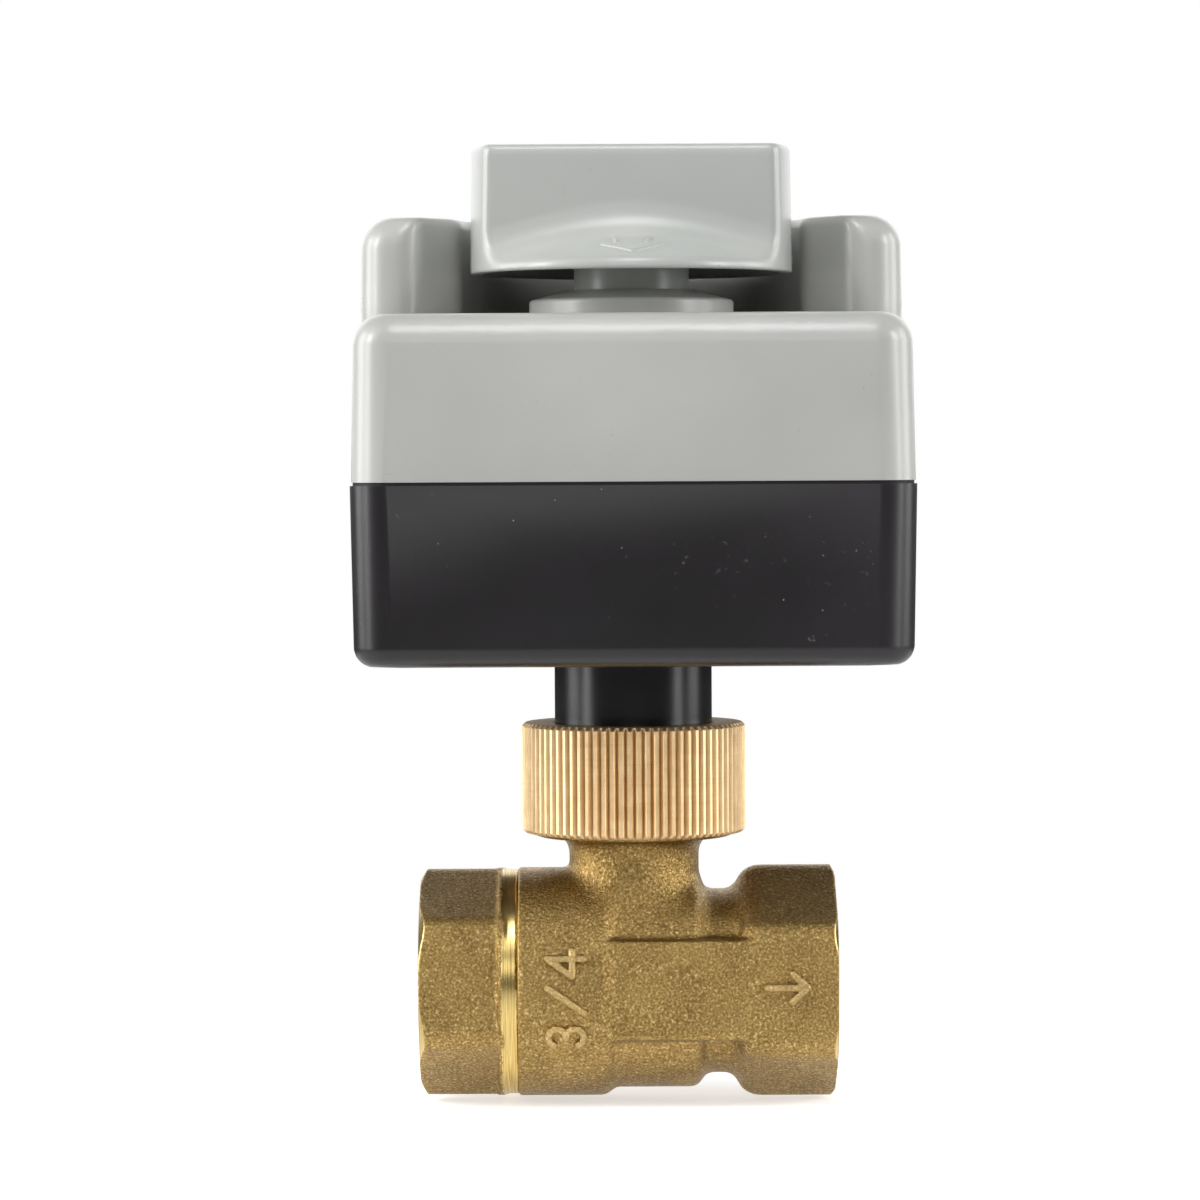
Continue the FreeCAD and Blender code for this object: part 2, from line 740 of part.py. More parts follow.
def make_screw(x, y, seat, length, shank_r, head_r, head_h, facing=1):
    """A pan-head screw whose head stands on the seat; facing is 1 for a head above, -1 for one below."""
    head_end = seat + facing * head_h
    shank_end = seat - facing * length
    slot_floor = head_end - facing * min(DRIVE_SLOT_DEPTH, head_h * 0.6)
    slot_out = head_end + facing * CUT_OVER
    head = vertical(head_r, min(seat, head_end), max(seat, head_end), x, y)
    shank = vertical(shank_r, min(seat, shank_end), max(seat, shank_end), x, y)
    slots = cross_slots(head_r, x, y, min(slot_floor, slot_out), max(slot_floor, slot_out))
    return head.fuse(shank).cut(Part.makeCompound(slots)).removeSplitter()


def small_screw(x, y, seat, length):
    return make_screw(x, y, seat, length, SMALL_SCREW_R, SMALL_HEAD_R, SMALL_HEAD_H)


def make_housing_screws():
    length = SPLIT_Z + SCREW_BITE - SCREW_SHOULDER_Z
    screws = []
    for x, y in screw_places():
        screws.append(make_screw(x, y, SCREW_SHOULDER_Z, length, SCREW_R, SCREW_HEAD_R, SCREW_HEAD_H, -1))
    return Part.makeCompound(screws)


def collar_top_z():
    return DECK_Z + COLLAR_EDGE_H + COLLAR_CONE_H


def circlip_z():
    return DECK_Z - WALL - CIRCLIP_T


def make_knob_collar():
    """Low cone on the deck, with a spigot through it that guides the knob's stem."""
    bore = KNOB_STEM_R + SLIDE_GAP
    piece = turned([
        (bore, COLLAR_SPIGOT_LOW_Z),
        (COLLAR_SPIGOT_R, COLLAR_SPIGOT_LOW_Z),
        (COLLAR_SPIGOT_R, DECK_Z),
        (COLLAR_R, DECK_Z),
        (COLLAR_R, DECK_Z + COLLAR_EDGE_H),
        (bore + CIRCLIP_T, collar_top_z()),
        (bore, collar_top_z()),
    ])
    groove_r = COLLAR_SPIGOT_R - CIRCLIP_BITE
    return piece.cut(ring(COLLAR_R, groove_r, circlip_z() - SEAT_GAP, DECK_Z - WALL + SEAT_GAP))


def make_collar_circlip():
    inner = COLLAR_SPIGOT_R - CIRCLIP_BITE + SEAT_GAP
    return ring(inner + CIRCLIP_BITE + CIRCLIP_BAND, inner, circlip_z(), DECK_Z - WALL)


def cone_z(radius):
    """Height of the knob's conical ledge at one radius."""
    return KNOB_LOW_Z + KNOB_RIM_H + (KNOB_R - radius) * KNOB_CONE_SLOPE


def gear_top():
    return GEAR_LOW_Z + GEAR_FACE


def make_knob():
    """Round knob with a grip bar between two scoops, on a stem that slides on the spindle's square."""
    outside = turned([
        (0, KNOB_LOW_Z),
        (KNOB_R, KNOB_LOW_Z),
        (KNOB_R, KNOB_LOW_Z + KNOB_RIM_H),
        (KNOB_R - KNOB_TAPER, KNOB_TOP_Z),
        (0, KNOB_TOP_Z),
    ])
    above_cone = turned([
        (0, cone_z(0)),
        (KNOB_R + CUT_OVER, cone_z(KNOB_R + CUT_OVER)),
        (KNOB_R + CUT_OVER, KNOB_TOP_Z + CUT_OVER),
        (0, KNOB_TOP_Z + CUT_OVER),
    ])
    reach = KNOB_R + CUT_OVER
    for side in (-1, 1):
        y0, y1 = sorted((side * GRIP_HALF, side * reach))
        scoop = above_cone.common(block(-reach, reach, y0, y1, KNOB_LOW_Z, KNOB_TOP_Z + CUT_OVER))
        outside = outside.cut(scoop)
    outside = outside.makeFillet(GRIP_FILLET, scoop_roots(outside))
    outside = outside.makeFillet(KNOB_EDGE_R, edges_at(outside, KNOB_TOP_Z))
    inner_r = KNOB_R - KNOB_WALL
    hollow = turned([
        (0, KNOB_LOW_Z - CUT_OVER),
        (inner_r, KNOB_LOW_Z - CUT_OVER),
        (inner_r, cone_z(inner_r) - KNOB_WALL),
        (KNOB_STEM_R, cone_z(KNOB_STEM_R) - KNOB_WALL),
        (0, cone_z(KNOB_STEM_R) - KNOB_WALL),
    ])
    stem = vertical(KNOB_STEM_R, KNOB_TUBE_TOP_Z, cone_z(KNOB_STEM_R))
    tube = vertical(KNOB_TUBE_R, gear_top() + GEAR_HUB_H, KNOB_TUBE_TOP_Z)
    knob = fused(outside.cut(hollow), stem, tube)
    bore_top = SPINDLE_TOP_Z + KNOB_TRAVEL + CUT_OVER
    knob = knob.cut(square_bar(SPINDLE_SQUARE + 2 * SLIDE_GAP, GEAR_LOW_Z, bore_top))
    low = stop_ring_low()
    groove = ring(KNOB_STEM_R + CUT_OVER, KNOB_STEM_R - CIRCLIP_BITE, low, low + CIRCLIP_T)
    return knob.cut(groove)


def scoop_roots(shape):
    """The edges where the grip's flat faces meet the conical ledges."""
    found = []
    for edge in shape.Edges:
        box = edge.BoundBox
        level_with_grip = abs(abs(box.YMin) - GRIP_HALF) < 1e-3 and abs(abs(box.YMax) - GRIP_HALF) < 1e-3
        if level_with_grip and box.XLength > KNOB_R and box.ZMax < KNOB_TOP_Z - KNOB_EDGE_R:
            found.append(edge)
    return found


def stop_ring_low():
    """The ring that stops the knob from being pulled out, just under the collar's spigot."""
    return COLLAR_SPIGOT_LOW_Z - LOOSE_GAP - CIRCLIP_T


def make_knob_stop_ring():
    inner = KNOB_STEM_R - CIRCLIP_BITE + SEAT_GAP
    return ring(inner + CIRCLIP_BITE + CIRCLIP_BAND, inner, stop_ring_low(), stop_ring_low() + CIRCLIP_T)


def shoulder_low():
    return base_floor() + BUSH_FLANGE_T + SLIDE_GAP


def bush_low():
    return base_floor() - BUSH_LEN


def spindle_clip_low():
    return bush_low() - SLIDE_GAP - CIRCLIP_T


def cam_low(level):
    """Underside of a cam: level 0 works the open switch and level 1 the closed one."""
    return shoulder_low() + SHOULDER_H + level * (CAM_T + CAM_SPACE)


def washer_low():
    return cam_low(2)


def make_spindle():
    """Socket for the valve stem below, a shoulder for the cams, and a square that runs up into the knob."""
    low = shoulder_low()
    spindle = fused(
        vertical(SPINDLE_R, SPINDLE_LOW_Z, low),
        vertical(SHOULDER_R, low, low + SHOULDER_H),
        square_bar(SPINDLE_SQUARE, low, SPINDLE_TOP_Z),
    )
    socket = STEM_SQUARE + 2 * SLIDE_GAP
    spindle = spindle.cut(square_bar(socket, SPINDLE_LOW_Z - CUT_OVER, STEM_TOP_Z + LOOSE_GAP))
    clip = spindle_clip_low()
    return spindle.cut(ring(SPINDLE_R + CUT_OVER, SPINDLE_R - CIRCLIP_BITE, clip, clip + CIRCLIP_T))


def make_spindle_clip():
    inner = SPINDLE_R - CIRCLIP_BITE + SEAT_GAP
    return ring(neck_bore_r() - LOOSE_GAP, inner, spindle_clip_low(), spindle_clip_low() + CIRCLIP_T)


def make_spindle_bush():
    floor = base_floor()
    tube = vertical(neck_bore_r(), bush_low(), floor)
    flange = vertical(neck_bore_r() + BUSH_WALL, floor, floor + BUSH_FLANGE_T)
    bore = vertical(SPINDLE_R + SLIDE_GAP, bush_low() - CUT_OVER, floor + BUSH_FLANGE_T + CUT_OVER)
    return tube.fuse(flange).cut(bore).removeSplitter()


def spiral(start_r, end_r, start, end, z, steps=12):
    """A steady spiral from one bearing to another."""
    points = []
    for i in range(steps + 1):
        share = i / steps
        x, y = polar(start_r + (end_r - start_r) * share, start + (end - start) * share)
        points.append(V(x, y, z))
    curve = Part.BSplineCurve()
    curve.interpolate(points)
    return curve.toShape()


def make_cam(level, start, falls):
    """A cam whose ramp runs over a quarter turn from the bearing start, falling or rising, and returns."""
    z = cam_low(level)
    extra = CAM_RISE * CAM_RAMP_MARGIN_DEG / QUARTER_TURN_DEG
    low, high = CAM_LOW_R - extra, CAM_LOW_R + CAM_RISE + extra
    ramp_start, ramp_end = start - CAM_RAMP_MARGIN_DEG, start + QUARTER_TURN_DEG + CAM_RAMP_MARGIN_DEG
    first, last = (high, low) if falls else (low, high)
    outline = joined([
        spiral(first, last, ramp_start, ramp_end, z),
        spiral(last, first, ramp_end, ramp_start + 360, z),
    ])
    cam = slab(outline, CAM_T).fuse(vertical(low, z, z + CAM_T + CAM_SPACE))
    hole = square_bar(SPINDLE_SQUARE + 2 * SEAT_GAP, z - CUT_OVER, z + CAM_T + CUT_OVER)
    return cam.cut(hole).removeSplitter()


def make_spring_washer():
    washer = vertical(SPRING_R + CUT_OVER, washer_low(), washer_low() + SPRING_WASHER_T)
    return washer.cut(square_bar(SPINDLE_SQUARE + 2 * SEAT_GAP, washer_low() - CUT_OVER, GEAR_LOW_Z))


def make_return_spring():
    low = washer_low() + SPRING_WASHER_T + SPRING_WIRE / 2 + SEAT_GAP
    high = GEAR_LOW_Z + SPRING_POCKET_DEPTH - SPRING_WIRE / 2 - SEAT_GAP
    path = Part.makeHelix((high - low) / SPRING_TURNS, high - low, SPRING_R)
    circle = Part.Wire([Part.makeCircle(SPRING_WIRE / 2, V(SPRING_R, 0, 0), BACKWARD)])
    coil = Part.Wire(path).makePipeShell([circle], True, True)
    coil.translate(V(0, 0, low))
    return coil


def involute_angle(pressure):
    return math.tan(pressure) - pressure


def flank(pitch_r, half_angle, tip_r, root_r, middle, side, z):
    """Half a tooth from root to tip: an involute, with a radial line under its base circle."""
    base_r = pitch_r * math.cos(math.radians(PRESSURE_DEG))
    start_r = max(base_r, root_r)
    points = []
    for i in range(6):
        radius = start_r + (tip_r - start_r) * i / 5
        roll = involute_angle(math.acos(min(1.0, base_r / radius)))
        turn = half_angle + involute_angle(math.radians(PRESSURE_DEG)) - roll
        x, y = polar(radius, middle + side * math.degrees(turn))
        points.append(V(x, y, z))
    if side > 0:
        points.reverse()
    curve = Part.BSplineCurve()
    curve.interpolate(points)
    return curve.toShape()


def toothed(teeth, first, low, high):
    """A spur gear about Z whose first tooth points along the bearing first."""
    pitch_r = GEAR_MODULE * teeth / 2
    tip_r, root_r = pitch_r + ADDENDUM * GEAR_MODULE, pitch_r - DEDENDUM * GEAR_MODULE
    half_angle = math.pi / 2 / teeth - BACKLASH / 4 / pitch_r
    edges = []
    for tooth in range(teeth):
        middle = first + tooth * 360 / teeth
        half_root = 360 / teeth / 4
        rising = flank(pitch_r, half_angle, tip_r, root_r, middle, -1, low)
        falling = flank(pitch_r, half_angle, tip_r, root_r, middle, 1, low)
        x, y = polar(root_r, middle - half_root * 1.05)
        foot_in = V(x, y, low)
        x, y = polar(root_r, middle + half_root * 1.05)
        foot_out = V(x, y, low)
        edges.append(Part.makeLine(foot_in, rising.valueAt(rising.FirstParameter)))
        edges.append(rising)
        edges.append(falling)
        edges.append(Part.makeLine(falling.valueAt(falling.LastParameter), foot_out))
    return slab(joined(edges), high - low)


def pinion_y():
    """The motor's shaft stands one centre distance behind the spindle."""
    return GEAR_MODULE * (GEAR_TEETH + PINION_TEETH) / 2


def make_output_gear():
    """Clutch gear: the pressed knob slides it down, out of mesh with the pinion."""
    toothed_rim = toothed(GEAR_TEETH, QUARTER_TURN_DEG, GEAR_LOW_Z, gear_top())
    gear = toothed_rim.fuse(vertical(GEAR_HUB_R, GEAR_LOW_Z, gear_top() + GEAR_HUB_H))
    gear = gear.cut(vertical(SPRING_R + CUT_OVER, GEAR_LOW_Z - CUT_OVER, GEAR_LOW_Z + SPRING_POCKET_DEPTH))
    hole = square_bar(SPINDLE_SQUARE + 2 * SLIDE_GAP, GEAR_LOW_Z, KNOB_TUBE_TOP_Z)
    return gear.cut(hole).removeSplitter()


def make_motor_pinion():
    """Its gaps face the gear's tooth along the line of centres."""
    facing_gap = -QUARTER_TURN_DEG + 180 / PINION_TEETH
    pinion = toothed(PINION_TEETH, facing_gap, GEAR_LOW_Z, gear_top())
    pinion.translate(V(0, pinion_y(), 0))
    low, high = GEAR_LOW_Z - CUT_OVER, gear_top() + CUT_OVER
    return pinion.cut(vertical(MOTOR_SHAFT_R + SEAT_GAP, low, high, 0, pinion_y()))


def make_motor_shaft():
    return vertical(MOTOR_SHAFT_R, GEAR_LOW_Z, PLATE_TOP_Z + MOTOR_SHAFT_INSIDE, 0, pinion_y())


def motor_y():
    return pinion_y() + MOTOR_OFFSET


def ear_places():
    return [(-MOTOR_EAR_X, motor_y()), (MOTOR_EAR_X, motor_y())]


def make_motor():
    """Round can with its gears inside, two ears, and a boss round the shaft, off the can's centre."""
    low, high = PLATE_TOP_Z, PLATE_TOP_Z + MOTOR_H
    can = vertical(MOTOR_R, low, high, 0, motor_y())
    can = can.makeFillet(MOTOR_EDGE_R, edges_at(can, high))
    ears = []
    for x, y in ear_places():
        ears.append(vertical(MOTOR_EAR_R, low, low + MOTOR_EAR_T, x, y))
        ears.append(block(min(x, 0), max(x, 0), y - MOTOR_EAR_R, y + MOTOR_EAR_R, low, low + MOTOR_EAR_T))
    boss = vertical(MOTOR_BOSS_R, plate_low(), low, 0, pinion_y())
    motor = fused(can, boss, *ears)
    for x, y in ear_places():
        top = low + MOTOR_EAR_T + CUT_OVER
        motor = motor.cut(vertical(EAR_SCREW_R + SEAT_GAP, low - CUT_OVER, top, x, y))
    shaft_top = low + MOTOR_SHAFT_INSIDE + LOOSE_GAP
    return motor.cut(vertical(MOTOR_SHAFT_R + SLIDE_GAP, plate_low() - CUT_OVER, shaft_top, 0, pinion_y()))


def make_motor_screws():
    seat = PLATE_TOP_Z + MOTOR_EAR_T
    length = MOTOR_EAR_T + EAR_SCREW_REACH
    screws = []
    for x, y in ear_places():
        screws.append(make_screw(x, y, seat, length, EAR_SCREW_R, SCREW_HEAD_R, SCREW_HEAD_H))
    return Part.makeCompound(screws)


def make_gear_plate():
    """Steel plate on the pillars that carries the motor over the gear pair."""
    x, y0, y1 = plate_limits()
    r = PLATE_CORNER_R
    low = plate_low()
    outline = joined([
        arc((x - r, y0 + r), r, -90, 0, low),
        arc((x - r, y1 - r), r, 0, 90, low),
        arc((-x + r, y1 - r), r, 90, 180, low),
        arc((-x + r, y0 + r), r, 180, 270, low),
    ])
    plate = slab(outline, PLATE_T)
    high = PLATE_TOP_Z + CUT_OVER
    holes = [vertical(KNOB_TUBE_R + CUT_OVER, low - CUT_OVER, high)]
    holes.append(vertical(MOTOR_BOSS_R + SEAT_GAP, low - CUT_OVER, high, 0, pinion_y()))
    holes += [vertical(SMALL_SCREW_R + LOOSE_GAP, low - CUT_OVER, high, x, y) for x, y in pillar_places()]
    holes += [vertical(EAR_SCREW_R + SEAT_GAP, low - CUT_OVER, high, x, y) for x, y in ear_places()]
    return plate.cut(Part.makeCompound(holes))


def make_plate_screws():
    length = PLATE_T + SMALL_BITE - SEAT_GAP
    return Part.makeCompound([small_screw(x, y, PLATE_TOP_Z, length) for x, y in pillar_places()])


def lever_tilt_deg():
    """How far a lever tilts between the top and the foot of its cam's ramp."""
    return math.degrees(math.asin(CAM_RISE / LEVER_ARM))


def blade_near():
    """Inner face of a pressed lever's blade, measured out from the spindle's axis."""
    return CAM_LOW_R + CAM_RISE + LEVER_GAP + LEVER_BUMP_R


def switch_face():
    """The case stands clear of the lever's eye."""
    return pivot_x() + LEVER_EYE_R + LOOSE_GAP


def switch_stands():
    """Middle height and turn about the spindle of the open switch, then of the closed one."""
    return [(cam_low(0) + CAM_T / 2, 0), (cam_low(1) + CAM_T / 2, 180)]


def placed(shape, turn):
    """Switch parts are drawn to the right of the spindle and turned about it."""
    shape.rotate(CENTRE, UP, turn)
    return shape


def switch_holes(turn):
    x = switch_face() + SWITCH_HOLE_DEPTH
    side = -1 if turn else 1
    return [(side * x, side * y) for y in (-SWITCH_HOLE_SPREAD, SWITCH_HOLE_SPREAD)]


def pivot_x():
    return blade_near() + LEVER_T / 2


def make_switch(level, turn):
    """Snap switch: a flat case with a bore for its plunger and two ears that carry the lever's pin."""
    low, high = level - SWITCH_T / 2, level + SWITCH_T / 2
    face, half = switch_face(), SWITCH_LEN / 2
    case = block(face, face + SWITCH_DEPTH, -half, half, low, high)
    ear_t = (SWITCH_T - LEVER_WIDTH) / 2 - LOOSE_GAP
    for ear_low, ear_high in ((low, low + ear_t), (high - ear_t, high)):
        ear = vertical(LEVER_EYE_R, ear_low, ear_high, pivot_x(), -LEVER_ARM)
        root = block(pivot_x(), face, -LEVER_ARM - LEVER_EYE_R, -LEVER_ARM + LEVER_EYE_R, ear_low, ear_high)
        case = case.fuse(ear).fuse(root)
    case = case.fuse(vertical(LEVER_PIN_R, low, high, pivot_x(), -LEVER_ARM))
    depth = PLUNGER_INSIDE + 2 * CAM_RISE
    mouth = V(face - CUT_OVER, PLUNGER_PLACE, level)
    bore = Part.makeCylinder(PLUNGER_R + SLIDE_GAP, depth + CUT_OVER, mouth, ALONG)
    case = case.cut(bore)
    for x, y in switch_holes(0):
        case = case.cut(vertical(SMALL_SCREW_R + LOOSE_GAP, low - CUT_OVER, high + CUT_OVER, x, y))
    return placed(case.removeSplitter(), turn)


def make_lever(level, turn, pressed):
    """Sprung blade with an eye round the pin and a round nose that follows the cam."""
    low, high = level - LEVER_WIDTH / 2, level + LEVER_WIDTH / 2
    near = blade_near()
    blade = block(near, near + LEVER_T, -LEVER_ARM, LEVER_TIP, low, high)
    nose = vertical(LEVER_BUMP_R, low, high, near, 0)
    nose = nose.common(block(0, near, -LEVER_ARM, LEVER_ARM, low, high))
    eye = vertical(LEVER_EYE_R, low, high, pivot_x(), -LEVER_ARM)
    lever = fused(blade, nose, eye)
    pin_hole = vertical(LEVER_PIN_R + SLIDE_GAP, low - CUT_OVER, high + CUT_OVER, pivot_x(), -LEVER_ARM)
    lever = lever.cut(pin_hole)
    if not pressed:
        lever.rotate(V(pivot_x(), -LEVER_ARM, 0), UP, lever_tilt_deg())
    return placed(lever, turn)


def plunger_travel():
    """A plunger moves as far as its lever does at the plunger's place."""
    return CAM_RISE * (LEVER_ARM + PLUNGER_PLACE) / LEVER_ARM


def make_plunger(level, turn, pressed):
    tip = blade_near() + LEVER_T + PLUNGER_GAP
    if not pressed:
        tip -= plunger_travel()
    length = switch_face() + PLUNGER_INSIDE - blade_near() - LEVER_T
    stem = Part.makeCylinder(PLUNGER_R, length - PLUNGER_R, V(tip + PLUNGER_R, PLUNGER_PLACE, level), ALONG)
    return placed(fused(stem, Part.makeSphere(PLUNGER_R, V(tip + PLUNGER_R, PLUNGER_PLACE, level))), turn)


def make_switch_screws():
    screws = []
    for level, turn in switch_stands():
        for x, y in switch_holes(turn):
            screws.append(small_screw(x, y, level + SWITCH_T / 2, SWITCH_T + SMALL_BITE - SEAT_GAP))
    return Part.makeCompound(screws)


def board_front():
    return FRONT_Y + BOARD_FRONT_INSET


def board_posts():
    x = BOARD_HALF_X - BOARD_POST_INSET
    front = board_front() + BOARD_POST_INSET
    back = board_front() + BOARD_DEPTH - BOARD_POST_INSET
    return [(side * x, y) for side in (-1, 1) for y in (front, back)]


def board_top():
    return BOARD_LOW_Z + BOARD_T


def make_circuit_board():
    x, front = BOARD_HALF_X, board_front()
    board = block(-x, x, front, front + BOARD_DEPTH, BOARD_LOW_Z, board_top())
    for x, y in board_posts():
        low, high = BOARD_LOW_Z - CUT_OVER, board_top() + CUT_OVER
        board = board.cut(vertical(SMALL_SCREW_R + LOOSE_GAP, low, high, x, y))
    return board


def make_board_screws():
    length = BOARD_T + SMALL_BITE - SEAT_GAP
    return Part.makeCompound([small_screw(x, y, board_top(), length) for x, y in board_posts()])


def terminal_front():
    return board_front() + TERMINAL_INSET


def terminal_places():
    y = terminal_front() + TERMINAL_DEPTH / 2
    return [(TERMINAL_LEFT_X + (pole + 0.5) * TERMINAL_PITCH, y) for pole in range(TERMINAL_POLES)]


def make_terminal_block():
    """Screw terminals with a wire mouth at the front of each pole."""
    low, high = board_top(), board_top() + TERMINAL_H
    front = terminal_front()
    case = block(TERMINAL_LEFT_X, TERMINAL_RIGHT_X, front, front + TERMINAL_DEPTH, low, high)
    for x, y in terminal_places():
        screw_end = high - TERMINAL_SCREW_LEN
        case = case.cut(vertical(TERMINAL_SCREW_R + LOOSE_GAP, screw_end, high + CUT_OVER, x, y))
        mouth = TERMINAL_SCREW_R
        floor = low + CUT_OVER
        case = case.cut(block(x - mouth, x + mouth, front - CUT_OVER, y, floor, floor + 2 * mouth))
    return case


def make_terminal_screws():
    high = board_top() + TERMINAL_H
    screws = []
    for x, y in terminal_places():
        screw = vertical(TERMINAL_SCREW_R, high - TERMINAL_SCREW_LEN, high - LOOSE_GAP, x, y)
        slots = cross_slots(TERMINAL_SCREW_R, x, y, high - DRIVE_SLOT_DEPTH, high)
        screws.append(screw.cut(Part.makeCompound(slots)))
    return Part.makeCompound(screws)


def make_relay():
    y = terminal_front()
    low = board_top()
    left, right = TERMINAL_RIGHT_X + RELAY_LEFT_GAP, BOARD_HALF_X - RELAY_RIGHT_INSET
    return block(left, right, y, y + RELAY_DEPTH, low, low + RELAY_H)


def make_capacitor():
    y = board_front() + BOARD_DEPTH / 2
    x = CAPACITOR_INSET - BOARD_HALF_X
    return vertical(CAPACITOR_R, board_top(), board_top() + CAPACITOR_H, x, y)


def y_hexagon(across, start, length):
    """A hexagonal slab on the gland's axis."""
    slab_solid = hexagon(across, length, BODY_EDGE)
    slab_solid.rotate(CENTRE, ALONG, -90)
    slab_solid.translate(V(GLAND_X, start, GLAND_Z))
    return slab_solid


def wall_inside_y():
    """Inner face of the base's back wall at the gland's lower edge, where it leans in most."""
    return BACK_Y - base_inset(GLAND_Z - GLAND_HEX / 2) - WALL


def gland_nose_start():
    return gland_face_y() + GLAND_HEX_LEN


def make_gland_body():
    """Hexagon outside, a thread through the wall with a locknut inside, and a nose for the cap."""
    inner_end = wall_inside_y() - GLAND_NUT_T - GLAND_INSIDE_LEN
    body = fused(
        y_hexagon(GLAND_HEX, gland_face_y(), GLAND_HEX_LEN),
        along_y(GLAND_THREAD_R, inner_end, gland_nose_start() + GLAND_NOSE_LEN),
    )
    outer_end = gland_nose_start() + GLAND_NOSE_LEN + CUT_OVER
    return body.cut(along_y(GLAND_BORE_R, inner_end - CUT_OVER, outer_end))


def make_gland_locknut():
    start = wall_inside_y() - GLAND_NUT_T
    nut = y_hexagon(GLAND_HEX, start, GLAND_NUT_T)
    return nut.cut(along_y(GLAND_THREAD_R + SLIDE_GAP, start - CUT_OVER, start + GLAND_NUT_T + CUT_OVER))


def make_gland_cap():
    start, end = gland_nose_start(), gland_nose_start() + GLAND_CAP_LEN
    cap = along_y(GLAND_CAP_R, start, end)
    edge = [e for e in cap.Edges if abs(e.BoundBox.YMin - end) < 1e-4 and abs(e.BoundBox.YMax - end) < 1e-4]
    cap = cap.makeFillet(GLAND_CAP_R - GLAND_CAP_HOLE_R - CUT_OVER, edge)
    cap = cap.cut(along_y(GLAND_THREAD_R + SLIDE_GAP, start - CUT_OVER, start + GLAND_NOSE_LEN + LOOSE_GAP))
    return cap.cut(along_y(GLAND_CAP_HOLE_R, start, end + CUT_OVER))


def make_gland_seal():
    end = gland_nose_start() + GLAND_NOSE_LEN
    seal = along_y(GLAND_BORE_R - SEAT_GAP, end - GLAND_SEAL_LEN, end)
    return seal.cut(along_y(CABLE_R, end - GLAND_SEAL_LEN - CUT_OVER, end + CUT_OVER))


def make_pieces():
    (open_level, open_turn), (shut_level, shut_turn) = switch_stands()
    return {
        "valve_body": make_valve_body(),
        "tailpiece": make_tailpiece(),
        "tailpiece_seal": make_tailpiece_seal(),
        "seat_rings": make_seat_rings(),
        "ball": make_ball(),
        "valve_stem": make_valve_stem(),
        "stem_washer": make_stem_washer(),
        "stem_o_rings": make_stem_o_rings(),
        "union_nut": make_union_nut(),
        "nut_friction_ring": make_nut_ring(),
        "base_housing": make_base(),
        "housing_gasket": make_gasket(),
        "cover": make_cover(),
        "housing_screws": make_housing_screws(),
        "knob_collar": make_knob_collar(),
        "collar_circlip": make_collar_circlip(),
        "manual_knob": make_knob(),
        "knob_stop_ring": make_knob_stop_ring(),
        "spindle": make_spindle(),
        "spindle_clip": make_spindle_clip(),
        "spindle_bush": make_spindle_bush(),
        "open_cam": make_cam(0, 0.0, True),
        "closed_cam": make_cam(1, 180.0, False),
        "spring_washer": make_spring_washer(),
        "return_spring": make_return_spring(),
        "output_gear": make_output_gear(),
        "motor_pinion": make_motor_pinion(),
        "motor_shaft": make_motor_shaft(),
        "motor": make_motor(),
        "motor_screws": make_motor_screws(),
        "gear_plate": make_gear_plate(),
        "plate_screws": make_plate_screws(),
        "open_switch": make_switch(open_level, open_turn),
        "open_switch_lever": make_lever(open_level, open_turn, True),
        "open_switch_plunger": make_plunger(open_level, open_turn, True),
        "closed_switch": make_switch(shut_level, shut_turn),
        "closed_switch_lever": make_lever(shut_level, shut_turn, False),
        "closed_switch_plunger": make_plunger(shut_level, shut_turn, False),
        "switch_screws": make_switch_screws(),
        "circuit_board": make_circuit_board(),
        "board_screws": make_board_screws(),
        "terminal_block": make_terminal_block(),
        "terminal_screws": make_terminal_screws(),
        "relay": make_relay(),
        "capacitor": make_capacitor(),
        "gland_body": make_gland_body(),
        "gland_locknut": make_gland_locknut(),
        "gland_cap": make_gland_cap(),
        "gland_seal": make_gland_seal(),
    }


def main():
    os.makedirs("parts", exist_ok=True)
    for name, shape in make_pieces().items():
        shape.translate(V(INLET_REACH, 0, 0))
        shape.exportStep(os.path.join("parts", name + ".step"))
        state = "ok" if shape.isValid() and all(s.Volume > 0 for s in shape.Solids) else "BAD"
        print(f"{name:24s} solids {len(shape.Solids)}  volume {shape.Volume:10.2f}  {state}")


main()
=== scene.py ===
"""Looks of a motorized ball valve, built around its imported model.

Blender works in metres. Shapes are worked out here in millimetres about the ball's centre, where X runs
along the pipe, Z up the stem and -Y is the front, and they move to the model's frame when they become meshes.
A lap is how far a form runs into the next one. A round softens an outer edge, and a fillet an inner corner.
"""
import json
import math

